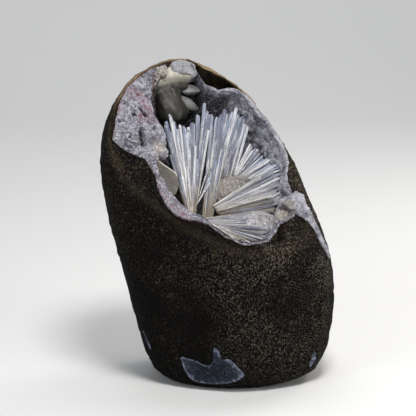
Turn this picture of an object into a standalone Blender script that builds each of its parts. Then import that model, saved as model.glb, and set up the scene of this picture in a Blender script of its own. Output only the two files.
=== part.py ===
"""Scolecite geode: a basalt boulder broken open across a crystal-lined hollow.

Metres, +Z up, the side that the photograph shows at -Y. The origin is under the middle
of the boulder, on the surface that it rests on. The boulder's skin is a surface lofted
through its extents at a few heights, and the break is a sloping plane across it. Places
on the break are given along its level direction, up its slope, and down below it.
"""
import bpy
import bmesh
import numpy as np
from mathutils import Matrix, Vector

# Boulder: extent to the left, right, front and back of the origin at each height
HEIGHTS = [0.000, 0.005, 0.014, 0.035, 0.065, 0.095, 0.125, 0.155, 0.180, 0.200, 0.213, 0.222, 0.226]
TO_LEFT = [0.0380, 0.0460, 0.0515, 0.0580, 0.0655, 0.0730, 0.0800, 0.0835, 0.0800, 0.0700, 0.0570,
           0.0360, 0.0240]
TO_RIGHT = [0.0580, 0.0690, 0.0760, 0.0820, 0.0835, 0.0785, 0.0665, 0.0540, 0.0400, 0.0260, 0.0120,
            -0.0060, -0.0160]
TO_FRONT = [0.0380, 0.0470, 0.0530, 0.0590, 0.0630, 0.0640, 0.0620, 0.0570, 0.0460, 0.0300, 0.0100,
            -0.0150, -0.0300]
TO_BACK = [0.0380, 0.0450, 0.0500, 0.0555, 0.0585, 0.0590, 0.0590, 0.0590, 0.0590, 0.0575, 0.0535,
           0.0480, 0.0400]
SQUARENESS = 2.35               # power of the super-ellipse that each level is
CORE = np.array((0.003, 0.000, 0.095))      # a point inside, seen by all of the skin
# The two dressed faces of the front: the way each faces, a point on it, softness of its edge
DRESSED_FACES = [((-0.36, -0.92, -0.14), (0.005, -0.062, 0.070), 0.008),
                 ((0.42, -0.90, -0.10), (0.018, -0.062, 0.070), 0.008)]

# The break: the way it faces, a point on it, and the middle of the hollow's mouth in plan
BREAK_FACES = (0.25, -0.66, 0.70)
BREAK_POINT = (0.022, -0.050, 0.111)
MOUTH_PLAN = (-0.0022, -0.0098)
EDGE_SOFTNESS = 0.003

# Outline of the crust on the break: degrees from the level direction, and radius
CRUST_RIM = [(-180, 0.0485), (-168, 0.0470), (-158, 0.0505), (-147, 0.0540), (-136, 0.0570),
             (-128, 0.0572), (-120, 0.0545), (-110, 0.0545), (-99, 0.0620), (-88, 0.0695),
             (-73, 0.0710), (-60, 0.0645), (-49, 0.0675), (-37, 0.0610), (-27, 0.0540),
             (-19, 0.0520), (-9, 0.0540), (3, 0.0545), (13, 0.0545), (23, 0.0550), (33, 0.0565),
             (43, 0.0580), (54, 0.0645), (63, 0.0660), (73, 0.0610), (82, 0.0640), (88, 0.0820),
             (97, 0.0850), (107, 0.0840), (118, 0.0825), (127, 0.0810), (137, 0.0770),
             (145, 0.0750), (153, 0.0730), (162, 0.0725), (168, 0.0630), (174, 0.0500)]
# Outline of the open mouth inside it, in the same terms
MOUTH_RIM = [(-180, 0.0430), (-168, 0.0440), (-158, 0.0475), (-147, 0.0510), (-136, 0.0542),
             (-128, 0.0545), (-120, 0.0520), (-110, 0.0520), (-99, 0.0590), (-88, 0.0660),
             (-73, 0.0670), (-60, 0.0605), (-49, 0.0590), (-37, 0.0520), (-27, 0.0500),
             (-9, 0.0505), (13, 0.0510), (33, 0.0530), (43, 0.0545), (54, 0.0605), (63, 0.0620),
             (73, 0.0575), (82, 0.0620), (88, 0.0808), (97, 0.0834), (104, 0.0788), (112, 0.0700),
             (120, 0.0650), (127, 0.0560), (133, 0.0450), (140, 0.0390), (150, 0.0355),
             (160, 0.0370), (170, 0.0410)]
WIDEST_STEP = 12.0              # degrees between two neighbouring meridians, at most
ROCK_AT_RIM = 0.0028            # rock left between the crust and the boulder's skin
HOLLOW_DEPTH = 0.050            # of the crust's inside, below the break
CRUST_BELOW = 0.005             # thickness of the crust at the bottom
CRUST_PROUD = 0.0014            # of the crust's cut face, over the break
STEEP_WALL = (3.2, 0.8)         # powers of the hollow's profile, round most of the mouth
FRONT_WALL = (1.7, 1.0)         # and at the front, where the sprays stand
FRONT_ANGLE = -110.0
NOTCH_DEPTH = 0.007             # broken-out notch in the rock at the upper right of the rim
NOTCH_ANGLES = (44.0, 90.0)
GAP = 0.0005                    # between the crust and the rock
BOWL_LEVELS = (1.0, 0.96, 0.89, 0.78, 0.64, 0.47, 0.29, 0.13)
RIM_LEVELS = (0.12, 0.50, 0.88)
FACE_LEVELS = (0.33, 0.66, 0.95)
SKIN_LEVELS = 16
SKIN_START = 0.022              # first level, on the way from the break's edge to the foot
LONGEST_RAY = 0.26              # from a point inside to beyond the skin
HALVINGS = 30                   # steps of the search along a ray
ON_GROUND = 1e-6                # what lies lower than this is on the ground

# Tongue of crust over the right flank: points on its middle line, and its half-width there
TONGUE = [((0.0480, -0.0160, 0.1336), 0.0075), ((0.0530, -0.0190, 0.1285), 0.0065),
          ((0.0580, -0.0215, 0.1230), 0.0050), ((0.0635, -0.0230, 0.1170), 0.0036),
          ((0.0680, -0.0240, 0.1100), 0.0032), ((0.0725, -0.0225, 0.1020), 0.0036),
          ((0.0755, -0.0190, 0.0945), 0.0032), ((0.0775, -0.0170, 0.0895), 0.0018)]
TONGUE_HEIGHT = 0.0024
TONGUE_CLEAR = 0.0011           # between it and the boulder's faceted skin
TONGUE_ROOT_CLEAR = 0.0007      # at its root, which stands on the crust

# Sprays: apex, angles that the fan spans, angles below the break that it spans, needles
# across and down, radius of the solid root, and reach of the needles at the fan's angles
SPRAYS = {
    "scolecite_tall_spray": dict(
        apex=(-0.0250, -0.0370, 0.0090), fan=(93, 69), dip=(-6, 22), count=(9, 3), root=0.040,
        reach=[(69, 0.094), (77, 0.078), (83, 0.080), (88, 0.086), (93, 0.074)], seed=3),
    "scolecite_right_spray": dict(
        apex=(-0.0165, -0.0420, 0.0075), fan=(72, 36), dip=(-5, 20), count=(11, 3), root=0.038,
        reach=[(36, 0.070), (48, 0.078), (58, 0.094), (66, 0.098), (72, 0.090)], seed=5),
    "scolecite_low_fan": dict(
        apex=(-0.0120, -0.0445, 0.0055), fan=(33, -14), dip=(-3, 9), count=(11, 2), root=0.030,
        reach=[(-14, 0.042), (-5, 0.050), (17, 0.062), (33, 0.068)], seed=8),
}
NEEDLE_FILL = 0.84              # of its cell that a needle's foot covers
NEEDLE_TAPER = 0.80             # width under the point, of the foot's width
NEEDLE_POINT = 0.0045           # length of the pointed end
SHORTEST_REACH = 0.88           # of a needle, beside the longest at its angle
LOWER_SHORTER = 0.10            # by which each lower layer falls short of the one above it
WALL_CLEAR = 0.0022             # from the crust, of the sprays' needles
MOUTH_CLEAR = 0.985             # of the mouth's radius that a needle may reach
LONGEST_NEEDLE = 0.120
NEEDLE_STEP = 0.0005            # between the places at which its way is tested
ROOT_START = 0.0035             # distance from the apex at which the solid root begins

# Stilbite: lumps that grew together: middle, half-length, half-width, half-thickness,
# and the direction on the break in degrees that the length points to
STILBITE_LUMPS = [
    ((-0.0078, 0.0722, 0.0030), (0.0094, 0.0074, 0.0046), 5),
    ((-0.0110, 0.0630, 0.0095), (0.0090, 0.0080, 0.0045), 95),
    ((-0.0120, 0.0555, 0.0150), (0.0090, 0.0075, 0.0043), 90),
    ((-0.0020, 0.0630, 0.0070), (0.0072, 0.0040, 0.0026), -5),
    ((-0.0040, 0.0565, 0.0128), (0.0080, 0.0040, 0.0025), -20),
]
LUMP_SIDES = 10
LUMP_RINGS = 7

# Plate that leans on the left wall: corners of its face, and its thickness
PLATE_FACE = [(-0.0385, 0.0030, 0.0045), (-0.0325, 0.0020, 0.0055), (-0.0300, -0.0050, 0.0070),
              (-0.0295, -0.0130, 0.0080), (-0.0325, -0.0190, 0.0085), (-0.0375, -0.0140, 0.0070)]
PLATE_THICKNESS = 0.0032

# Filled gas bubbles in the skin: middle, outline round it to the right and up, thickness
BUBBLES = {
    "chalcedony_patch": dict(
        middle=(-0.0045, -0.0480, 0.0145), thickness=0.0045,
        outline=[(-0.0235, 0.0095), (-0.0145, 0.0082), (-0.0040, 0.0040), (0.0005, 0.0072),
                 (0.0014, 0.0200), (0.0046, 0.0190), (0.0062, 0.0110), (0.0135, 0.0110),
                 (0.0225, -0.0020), (0.0165, -0.0070), (0.0100, -0.0096), (-0.0010, -0.0108),
                 (-0.0125, -0.0102), (-0.0185, -0.0062), (-0.0212, 0.0000)]),
    "chalcedony_streak": dict(
        middle=(-0.0503, -0.0247, 0.0315), thickness=0.0025,
        outline=[(-0.0034, 0.0066), (-0.0018, 0.0070), (0.0008, 0.0008), (0.0034, -0.0064),
                 (0.0018, -0.0070), (-0.0010, -0.0008)]),
    "chalcedony_spot": dict(
        middle=(0.0670, -0.0278, 0.0178), thickness=0.0030,
        outline=[(-0.0010, 0.0052), (0.0014, 0.0060), (0.0030, 0.0022), (0.0018, -0.0030),
                 (-0.0004, -0.0062), (-0.0026, -0.0040), (-0.0028, 0.0010)]),
}
BUBBLE_GAP = 0.0004
BUBBLE_RINGS = (1.0, 0.62, 0.28)
BUBBLE_DISH = 0.0006            # hollow of its weathered face
CUTTER_PROUD = 0.004            # of the tool that cuts its pocket, over the skin
BUBBLE_CAST_FROM = 0.030        # below the skin, from where its face's points are cast
BUBBLE_CAST_REACH = 0.080
SLOPE_STEP = 1e-4               # over which the skin's slope is measured

SHARP_ANGLE = np.radians(40)


def unit(vector):
    """The vector at length one."""
    vector = np.asarray(vector, dtype=float)
    return vector / np.linalg.norm(vector)


UPWARD = unit(BREAK_FACES)
LEVEL = unit((-UPWARD[1], UPWARD[0], 0.0))
UPSLOPE = np.cross(UPWARD, LEVEL)
BREAK_POINT = np.array(BREAK_POINT)
MOUTH = np.array((*MOUTH_PLAN, 0.0))
MOUTH[2] = BREAK_POINT[2] - ((MOUTH - BREAK_POINT * (1, 1, 0)) @ UPWARD) / UPWARD[2]


def on_break(across, up, down):
    """Points from their places along, up and below the break."""
    across, up, down = (np.asarray(v, dtype=float)[..., None] for v in (across, up, down))
    return MOUTH + across * LEVEL + up * UPSLOPE - down * UPWARD


def extent(table, height):
    """Smooth curve through one of the boulder's tables, by cubic pieces."""
    knots, values = np.array(HEIGHTS), np.array(table)
    slopes = np.gradient(values, knots)
    i = np.clip(np.searchsorted(knots, height) - 1, 0, len(knots) - 2)
    width = knots[i + 1] - knots[i]
    s = np.clip((height - knots[i]) / width, 0, 1)
    return ((2 * s**3 - 3 * s**2 + 1) * values[i] + (s**3 - 2 * s**2 + s) * width * slopes[i]
            + (3 * s**2 - 2 * s**3) * values[i + 1] + (s**3 - s**2) * width * slopes[i + 1])


def soft_max(a, b, softness):
    """The larger of two distances, rounded where they are equal."""
    return 0.5 * (a + b + np.sqrt((a - b) ** 2 + softness**2))


def above_skin(points):
    """Rough distance outside the boulder's skin, the break left out."""
    x, y, z = points[..., 0], points[..., 1], points[..., 2]
    left, right = -extent(TO_LEFT, z), extent(TO_RIGHT, z)
    front, back = -extent(TO_FRONT, z), extent(TO_BACK, z)
    half_x, half_y = (right - left) / 2, (back - front) / 2
    ratio = (np.abs((x - (left + right) / 2) / half_x) ** SQUARENESS
             + np.abs((y - (front + back) / 2) / half_y) ** SQUARENESS) ** (1 / SQUARENESS)
    distance = (ratio - 1) * np.minimum(half_x, half_y)
    distance = np.maximum(distance, z - HEIGHTS[-1])
    for faces, point, softness in DRESSED_FACES:
        distance = soft_max(distance, (points - np.array(point)) @ unit(faces), softness)
    return np.maximum(distance, -z)


def above_body(points):
    """Rough distance outside the boulder with its break."""
    return soft_max(above_skin(points), (points - BREAK_POINT) @ UPWARD, EDGE_SOFTNESS)


def cast(distance, start, directions, reach=LONGEST_RAY):
    """Where rays from a point inside leave a surface, by halving."""
    near = np.zeros(directions.shape[:-1])
    far = np.full(directions.shape[:-1], reach)
    for _ in range(HALVINGS):
        middle = (near + far) / 2
        inside = distance(start + middle[..., None] * directions) < 0
        near, far = np.where(inside, middle, near), np.where(inside, far, middle)
    return start + ((near + far) / 2)[..., None] * directions


def around(table, degrees):
    """Radius of an outline at the given angles."""
    knots = np.array(table)
    return np.interp(degrees, knots[:, 0], knots[:, 1], period=360)


def meridian_angles():
    """The crust outline's own angles, with more between those that lie far apart."""
    knots = [angle for angle, _ in CRUST_RIM] + [CRUST_RIM[0][0] + 360]
    angles = []
    for first, last in zip(knots, knots[1:]):
        parts = int(np.ceil((last - first) / WIDEST_STEP))
        angles += [first + (last - first) * k / parts for k in range(parts)]
    return np.array(angles)


def bowl_depth(degrees, level, depth):
    """Depth of the hollow where the radius is level times the mouth's."""
    front = (0.5 + 0.5 * np.cos(np.radians(degrees - FRONT_ANGLE))) ** 2
    power = STEEP_WALL[0] + front * (FRONT_WALL[0] - STEEP_WALL[0])
    outer_power = STEEP_WALL[1] + front * (FRONT_WALL[1] - STEEP_WALL[1])
    return depth * np.clip(1 - level**power, 0, 1) ** outer_power


def bowl_rows(degrees, radius, depth, levels):
    """Rings of a bowl under the break, from its mouth to near its bottom."""
    rows = []
    for level in levels:
        r = radius * level
        rows.append(on_break(r * np.cos(np.radians(degrees)), r * np.sin(np.radians(degrees)),
                             bowl_depth(degrees, level, depth)))
    return rows


def crust_outline(degrees):
    """Radius of the crust on the break, kept inside the boulder's skin."""
    turn = np.radians(degrees)
    directions = np.cos(turn)[:, None] * LEVEL + np.sin(turn)[:, None] * UPSLOPE
    skin = cast(above_skin, MOUTH, directions)
    to_skin = np.linalg.norm(skin - MOUTH, axis=1)
    return np.minimum(around(CRUST_RIM, degrees), to_skin - ROCK_AT_RIM), to_skin, skin


def new_object(name, vertices, faces, material):
    """Object of one mesh, its faces turned outwards."""
    mesh = bpy.data.meshes.new(name)
    mesh.from_pydata([tuple(v) for v in vertices], [], faces)
    bm = bmesh.new()
    bm.from_mesh(mesh)
    bmesh.ops.recalc_face_normals(bm, faces=bm.faces)
    bm.to_mesh(mesh)
    bm.free()
    obj = bpy.data.objects.new(name, mesh)
    bpy.context.collection.objects.link(obj)
    mesh.materials.append(material)
    return obj


def closed_grid(name, rows, first_pole, last_pole, material):
    """Closed skin through rings of equal count, shut by a fan of triangles at each end."""
    count = len(rows[0])
    vertices = [first_pole] + [point for row in rows for point in row] + [last_pole]
    last = len(vertices) - 1
    faces = []
    for i in range(count):
        j = (i + 1) % count
        faces.append((0, 1 + j, 1 + i))
        for k in range(len(rows) - 1):
            a, b = 1 + k * count, 1 + (k + 1) * count
            faces.append((a + i, a + j, b + j))
            faces.append((a + i, b + j, b + i))
        a = 1 + (len(rows) - 1) * count
        faces.append((a + i, a + j, last))
    return new_object(name, vertices, faces, material)


def combine(target, tool, operation):
    """Add or cut one object with another, which is then removed."""
    modifier = target.modifiers.new("combine", "BOOLEAN")
    modifier.operation = operation
    modifier.solver = "EXACT"
    modifier.object = tool
    graph = bpy.context.evaluated_depsgraph_get()
    mesh = bpy.data.meshes.new_from_object(target.evaluated_get(graph))
    target.modifiers.remove(modifier)
    target.data = mesh
    bpy.data.objects.remove(tool)


def shade(obj):
    """Smooth shading, with the edges of facets left sharp."""
    obj.data.shade_smooth()
    obj.data.set_sharp_from_angle(angle=SHARP_ANGLE)


def material(name, colour, roughness):
    """Plain mineral finish."""
    made = bpy.data.materials.new(name)
    made.use_nodes = True
    surface = made.node_tree.nodes["Principled BSDF"]
    surface.inputs["Base Color"].default_value = (*colour, 1.0)
    surface.inputs["Roughness"].default_value = roughness
    surface.inputs["Metallic"].default_value = 0.0
    made.diffuse_color = (*colour, 1.0)
    return made


def make_boulder(basalt):
    """Boulder as one skin: up the hollow's wall, over the break and down to the foot."""
    degrees = meridian_angles()
    crust, to_skin, skin = crust_outline(degrees)
    turn = np.radians(degrees)
    hollow = bowl_rows(degrees, crust, HOLLOW_DEPTH + CRUST_BELOW, BOWL_LEVELS)
    rows = hollow[::-1]
    first, last = NOTCH_ANGLES
    notch = np.sin(np.pi * np.clip((degrees - first) / (last - first), 0, 1)) ** 0.5
    for level in FACE_LEVELS:
        r = crust + level * (to_skin - crust)
        ray = on_break(r * np.cos(turn), r * np.sin(turn), 0 * r) - CORE
        ray /= np.linalg.norm(ray, axis=1)[:, None]
        down = NOTCH_DEPTH * notch * np.sin(np.pi * level) * (level < FACE_LEVELS[-1])
        rows.append(cast(above_body, CORE, ray) - down[:, None] * UPWARD)
    from_core = skin - CORE
    from_core /= np.linalg.norm(from_core, axis=1)[:, None]
    foot = np.array((0.0, 0.0, -1.0))
    whole = np.arccos(from_core @ foot)[:, None]
    for k in range(1, SKIN_LEVELS + 1):
        s = SKIN_START + (1 - SKIN_START) * k / (SKIN_LEVELS + 1)
        ray = (np.sin((1 - s) * whole) * from_core + np.sin(s * whole) * foot) / np.sin(whole)
        row = cast(above_body, CORE, ray)
        row[row[:, 2] < ON_GROUND, 2] = 0.0
        rows.append(row)
    bottom = on_break(0, 0, HOLLOW_DEPTH + CRUST_BELOW)
    boulder = closed_grid("basalt_boulder", rows, bottom, CORE * (1, 1, 0), basalt)
    for bubble in BUBBLES.values():
        combine(boulder, bubble_body("pocket", bubble, basalt, True), "DIFFERENCE")
    shade(boulder)


def make_crust(white):
    """Crust as one skin: its outside up from the bottom, the cut face, and its inside."""
    degrees = meridian_angles()
    outer = crust_outline(degrees)[0] - GAP
    mouth = around(MOUTH_RIM, degrees)
    turn = np.radians(degrees)
    depth = HOLLOW_DEPTH + CRUST_BELOW - GAP
    rows = bowl_rows(degrees, outer, depth, BOWL_LEVELS)[::-1]
    for level in RIM_LEVELS:
        r = outer + level * (mouth - outer)
        proud = CRUST_PROUD * np.sin(np.pi * level) ** 0.5
        rows.append(on_break(r * np.cos(turn), r * np.sin(turn), -proud * np.ones_like(r)))
    rows += bowl_rows(degrees, mouth, HOLLOW_DEPTH, BOWL_LEVELS)
    lining = closed_grid("crust_lining", rows, on_break(0, 0, depth), on_break(0, 0, HOLLOW_DEPTH),
                         white)
    combine(lining, tongue_body(white), "UNION")
    shade(lining)


def tongue_body(white):
    """Low strip of crust that lies along the boulder's skin, over its right flank."""
    middle = np.array([point for point, _ in TONGUE])
    half = np.array([width for _, width in TONGUE])
    along = np.gradient(middle, axis=0)
    out = middle - CORE
    out /= np.linalg.norm(out, axis=1)[:, None]
    side = np.cross(along, out)
    side /= np.linalg.norm(side, axis=1)[:, None]
    clear = np.full(len(TONGUE), TONGUE_CLEAR)
    clear[0] = TONGUE_ROOT_CLEAR
    section = [(-1.0, 0.35), (-0.55, 0.9), (0.0, 1.0), (0.55, 0.9), (1.0, 0.35),
               (1.0, 0.0), (0.0, 0.0), (-1.0, 0.0)]
    rings = []
    for across, height in section:
        ray = middle + across * half[:, None] * side - CORE
        ray /= np.linalg.norm(ray, axis=1)[:, None]
        rings.append(cast(above_body, CORE, ray)
                     + (clear + height * TONGUE_HEIGHT)[:, None] * ray)
    rows = np.swapaxes(np.array(rings), 0, 1)
    return closed_grid("tongue", rows, rows[0].mean(axis=0), rows[-1].mean(axis=0), white)


def free_length(apex, direction):
    """How far a needle can grow from a spray's apex before it meets the crust."""
    steps = np.arange(ROOT_START, LONGEST_NEEDLE, NEEDLE_STEP)
    across, up, down = (np.array(apex)[:, None] + np.array(direction)[:, None] * steps)
    degrees = np.degrees(np.arctan2(up, across))
    level = np.hypot(across, up) / around(MOUTH_RIM, degrees)
    wall = bowl_depth(degrees, np.clip(level, 0, 1), HOLLOW_DEPTH)
    blocked = (down > wall - WALL_CLEAR) | (level > MOUTH_CLEAR)
    return steps[np.argmax(blocked)] if blocked.any() else steps[-1]


def needle_direction(fan, dip):
    """Direction along, up and below the break at an angle of the fan and a dip."""
    return (np.cos(fan) * np.cos(dip), np.sin(fan) * np.cos(dip), np.sin(dip))


def make_spray(name, spray, white):
    """Spray of square needles, each drawn out of one cell of a solid wedge-shaped root."""
    across, down = spray["count"]
    fans = np.radians(np.linspace(*spray["fan"], across + 1))
    dips = np.radians(np.linspace(*spray["dip"], down + 1))
    apex = spray["apex"]
    bm = bmesh.new()
    shells = []
    for radius in (ROOT_START, spray["root"]):
        shells.append([[bm.verts.new(on_break(*(a + radius * d for a, d in
                                                zip(apex, needle_direction(fan, dip)))))
                        for dip in dips] for fan in fans])
    inner, outer = shells
    cells = []
    for i in range(across):
        for j in range(down):
            cells.append(bm.faces.new((outer[i][j], outer[i + 1][j], outer[i + 1][j + 1],
                                       outer[i][j + 1])))
            bm.faces.new((inner[i][j], inner[i][j + 1], inner[i + 1][j + 1], inner[i + 1][j]))
    for i in range(across):
        for j in (0, down):
            bm.faces.new((inner[i][j], inner[i + 1][j], outer[i + 1][j], outer[i][j]))
    for j in range(down):
        for i in (0, across):
            bm.faces.new((inner[i][j], outer[i][j], outer[i][j + 1], inner[i][j + 1]))
    bmesh.ops.recalc_face_normals(bm, faces=bm.faces)

    feet = [cell.calc_center_median() for cell in cells]
    bmesh.ops.inset_individual(bm, faces=cells, use_even_offset=True, use_relative_offset=True,
                               thickness=(1 - NEEDLE_FILL) / 4)
    tips = bmesh.ops.extrude_discrete_faces(bm, faces=cells)["faces"]
    random = np.random.RandomState(spray["seed"])
    angles, reach = np.array(spray["reach"]).T
    start = Vector(on_break(*apex))
    for number, (foot, tip) in enumerate(zip(feet, tips)):
        i, j = divmod(number, down)
        fan, dip = (fans[i] + fans[i + 1]) / 2, (dips[j] + dips[j + 1]) / 2
        wanted = np.interp(np.degrees(fan), angles, reach) * random.uniform(SHORTEST_REACH, 1.0)
        length = min(wanted * (1 - LOWER_SHORTER * j), free_length(apex, needle_direction(fan, dip)))
        growth = (foot - start).normalized()
        centre = tip.calc_center_median()
        for vert in tip.verts:
            vert.co = (centre + (vert.co - centre) * NEEDLE_TAPER
                       + growth * (length - NEEDLE_POINT - spray["root"]))
        poked = bmesh.ops.poke(bm, faces=[tip])
        poked["verts"][0].co += growth * NEEDLE_POINT
    mesh = bpy.data.meshes.new(name)
    bm.to_mesh(mesh)
    bm.free()
    mesh.materials.append(white)
    bpy.context.collection.objects.link(bpy.data.objects.new(name, mesh))


def make_stilbite(cream):
    """Flattened lumps and blades that overlap, joined in one solid."""
    cluster = None
    for (across, up, down), half_sizes, angle in STILBITE_LUMPS:
        turn = np.radians(angle)
        axis = np.cos(turn) * LEVEL + np.sin(turn) * UPSLOPE
        side = np.cross(UPWARD, axis)
        frame = Matrix((axis, side, UPWARD)).transposed().to_4x4()
        frame.translation = on_break(across, up, down)
        bm = bmesh.new()
        bmesh.ops.create_uvsphere(bm, u_segments=LUMP_SIDES, v_segments=LUMP_RINGS, radius=1.0,
                                  matrix=frame @ Matrix.Diagonal((*half_sizes, 1.0)))
        mesh = bpy.data.meshes.new("stilbite_cluster")
        bm.to_mesh(mesh)
        bm.free()
        mesh.materials.append(cream)
        lump = bpy.data.objects.new("stilbite_cluster", mesh)
        bpy.context.collection.objects.link(lump)
        if cluster:
            combine(cluster, lump, "UNION")
        else:
            cluster = lump
    shade(cluster)


def make_plate(beige):
    """Thick plate: its face's outline, drawn down by its thickness."""
    top = [on_break(*corner) for corner in PLATE_FACE]
    under = [point - PLATE_THICKNESS * UPWARD for point in top]
    bm = bmesh.new()
    for point in top + under:
        bm.verts.new(point)
    bmesh.ops.convex_hull(bm, input=bm.verts)
    mesh = bpy.data.meshes.new("cleaved_plate")
    bm.to_mesh(mesh)
    bm.free()
    mesh.materials.append(beige)
    bpy.context.collection.objects.link(bpy.data.objects.new("cleaved_plate", mesh))


def bubble_body(name, bubble, finish, is_cutter):
    """Filled bubble set in the skin, or the tool that cuts its pocket, a gap larger."""
    middle = np.array(bubble["middle"])
    slope = np.array([above_skin(middle + SLOPE_STEP * axis) - above_skin(middle - SLOPE_STEP * axis)
                      for axis in np.eye(3)])
    out = unit(slope)
    right = unit(np.cross((0.0, 0.0, 1.0), out))
    upward = np.cross(out, right)
    outline = np.array(bubble["outline"])
    grown = BUBBLE_GAP if is_cutter else 0.0
    outline = outline * (1 + grown / np.linalg.norm(outline, axis=1))[:, None]
    inner = middle - BUBBLE_CAST_FROM * out

    def skin_at(places):
        starts = inner + places[:, :1] * right + places[:, 1:] * upward
        return np.array([cast(above_skin, start, out[None], BUBBLE_CAST_REACH)[0]
                         for start in starts])

    face = [skin_at(outline * ring) for ring in BUBBLE_RINGS]
    centre = skin_at(np.zeros((1, 2)))[0]
    if is_cutter:
        proud = [CUTTER_PROUD] * (len(BUBBLE_RINGS) + 1)
        thickness = bubble["thickness"] + BUBBLE_GAP
    else:
        proud = [-BUBBLE_DISH * (1 - ring) for ring in (*BUBBLE_RINGS, 0.0)]
        thickness = bubble["thickness"]
    back = [ring - thickness * out for ring in face]
    rows = [ring + p * out for ring, p in zip(face, proud)][::-1] + back
    return closed_grid(name, rows, centre + proud[-1] * out, centre - thickness * out, finish)


def main():
    for obj in list(bpy.data.objects):
        bpy.data.objects.remove(obj)
    basalt = material("basalt", (0.055, 0.047, 0.040), 0.85)
    white = material("white_crust", (0.72, 0.70, 0.76), 0.55)
    needle = material("scolecite", (0.80, 0.80, 0.86), 0.25)
    cream = material("stilbite", (0.74, 0.70, 0.58), 0.30)
    beige = material("cleaved_beige", (0.55, 0.51, 0.44), 0.35)
    blue = material("chalcedony", (0.30, 0.34, 0.42), 0.20)
    make_boulder(basalt)
    make_crust(white)
    for name, spray in SPRAYS.items():
        make_spray(name, spray, needle)
    make_stilbite(cream)
    make_plate(beige)
    for name, bubble in BUBBLES.items():
        shade(bubble_body(name, bubble, blue, False))


main()
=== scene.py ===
import bpy
import numpy as np
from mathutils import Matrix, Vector


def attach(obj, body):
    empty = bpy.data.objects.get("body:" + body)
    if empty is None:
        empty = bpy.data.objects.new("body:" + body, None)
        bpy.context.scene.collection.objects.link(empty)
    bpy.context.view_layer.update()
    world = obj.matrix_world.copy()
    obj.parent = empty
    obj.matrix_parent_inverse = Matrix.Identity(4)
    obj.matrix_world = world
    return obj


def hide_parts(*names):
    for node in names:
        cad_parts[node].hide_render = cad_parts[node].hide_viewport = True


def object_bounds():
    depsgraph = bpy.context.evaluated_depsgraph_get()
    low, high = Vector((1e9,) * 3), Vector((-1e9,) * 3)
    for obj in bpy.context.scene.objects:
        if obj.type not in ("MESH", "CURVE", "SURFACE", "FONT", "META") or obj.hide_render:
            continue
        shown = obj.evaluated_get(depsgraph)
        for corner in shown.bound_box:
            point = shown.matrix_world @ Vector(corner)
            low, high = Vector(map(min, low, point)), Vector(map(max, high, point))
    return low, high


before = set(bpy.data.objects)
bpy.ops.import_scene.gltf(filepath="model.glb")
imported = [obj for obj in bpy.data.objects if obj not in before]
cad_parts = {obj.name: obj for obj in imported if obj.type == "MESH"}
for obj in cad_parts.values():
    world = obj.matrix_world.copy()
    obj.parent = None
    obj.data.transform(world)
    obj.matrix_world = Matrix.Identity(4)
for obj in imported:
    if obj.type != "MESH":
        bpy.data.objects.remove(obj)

cad_box = [list(corner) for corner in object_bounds()]


# The boulder is one lump of basalt, rounded with a point chisel and stood on a flat foot, then
# broken open at a slant across the gas hollow in it. Its skin is lofted through its extents at
# a few heights, its level outlines are super-ellipses, and the break is a plane.
SQUARENESS = 2.35
CORE = np.array((0.003, 0.000, 0.095))
EDGE_SOFTNESS = 0.0026
HALVINGS = 26
GROOVE = 3.0
# Height, then the skin's reach to the left, right, front and back there, in millimetres
EXTENTS = np.array([
    (0, 38, 58, 38, 38), (5, 46, 69, 47, 45), (14, 51.5, 76, 53, 50), (35, 58, 82, 59, 55.5),
    (65, 65.5, 83.5, 63, 58.5), (95, 73, 78.5, 64, 59), (125, 80, 66.5, 62, 59), (155, 83.5, 54, 57, 59),
    (180, 80, 40, 46, 59), (200, 70, 26, 30, 57.5), (213, 57, 12, 10, 53.5), (222, 36, -6, -15, 48),
    (226, 24, -16, -30, 40)]).T / 1000
# Flats dressed on the front: direction, point, softness of their edges
DRESSED_FACES = [((-0.36, -0.92, -0.14), (0.005, -0.062, 0.070), 0.008),
                 ((0.42, -0.90, -0.10), (0.018, -0.062, 0.070), 0.008)]


def unit(vector):
    """The vector divided by its length."""
    vector = np.asarray(vector, dtype=float)
    return vector / np.linalg.norm(vector, axis=-1, keepdims=True)


UPWARD = unit((0.25, -0.66, 0.70))
LEVEL = unit((-UPWARD[1], UPWARD[0], 0.0))
UPSLOPE = np.cross(UPWARD, LEVEL)
BREAK_POINT = np.array((0.022, -0.050, 0.111))
MOUTH = np.array((-0.0022, -0.0098, 0.0))
MOUTH[2] = BREAK_POINT[2] - ((MOUTH - BREAK_POINT * (1, 1, 0)) @ UPWARD) / UPWARD[2]


def on_break(across, up, down):
    """The mouth's middle, plus across along the break's level line, up its slope and down below it."""
    across, up, down = (np.asarray(v, dtype=float)[..., None] for v in (across, up, down))
    return MOUTH + across * LEVEL + up * UPSLOPE - down * UPWARD


def from_break(points):
    """The reverse: each point's places across, up the slope and down below the break."""
    offset = points - MOUTH
    return offset @ LEVEL, offset @ UPSLOPE, -(offset @ UPWARD)


def ramp(value, start, width):
    """0 at the start and 1 a width further on, straight between; a negative width runs the other way."""
    return np.clip((value - start) / width, 0, 1)


def eased(share):
    """Three times the square less twice the cube, which starts and ends flat."""
    return share * share * (3 - 2 * share)


def extents(height):
    """Cubic pieces through the table's knots, each with the slope between its neighbours."""
    knots, values = EXTENTS[0], EXTENTS[1:]
    slopes = np.gradient(values, knots, axis=1)
    i = np.clip(np.searchsorted(knots, height) - 1, 0, len(knots) - 2)
    width = knots[i + 1] - knots[i]
    s = ramp(height, knots[i], width)
    return ((2 * s**3 - 3 * s**2 + 1) * values[:, i] + (s**3 - 2 * s**2 + s) * width * slopes[:, i]
            + (3 * s**2 - 2 * s**3) * values[:, i + 1] + (s**3 - s**2) * width * slopes[:, i + 1])


def soft_max(a, b, softness):
    """Half of a plus b plus the root of their difference squared plus the softness squared."""
    return 0.5 * (a + b + np.sqrt((a - b) ** 2 + softness**2))


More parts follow.
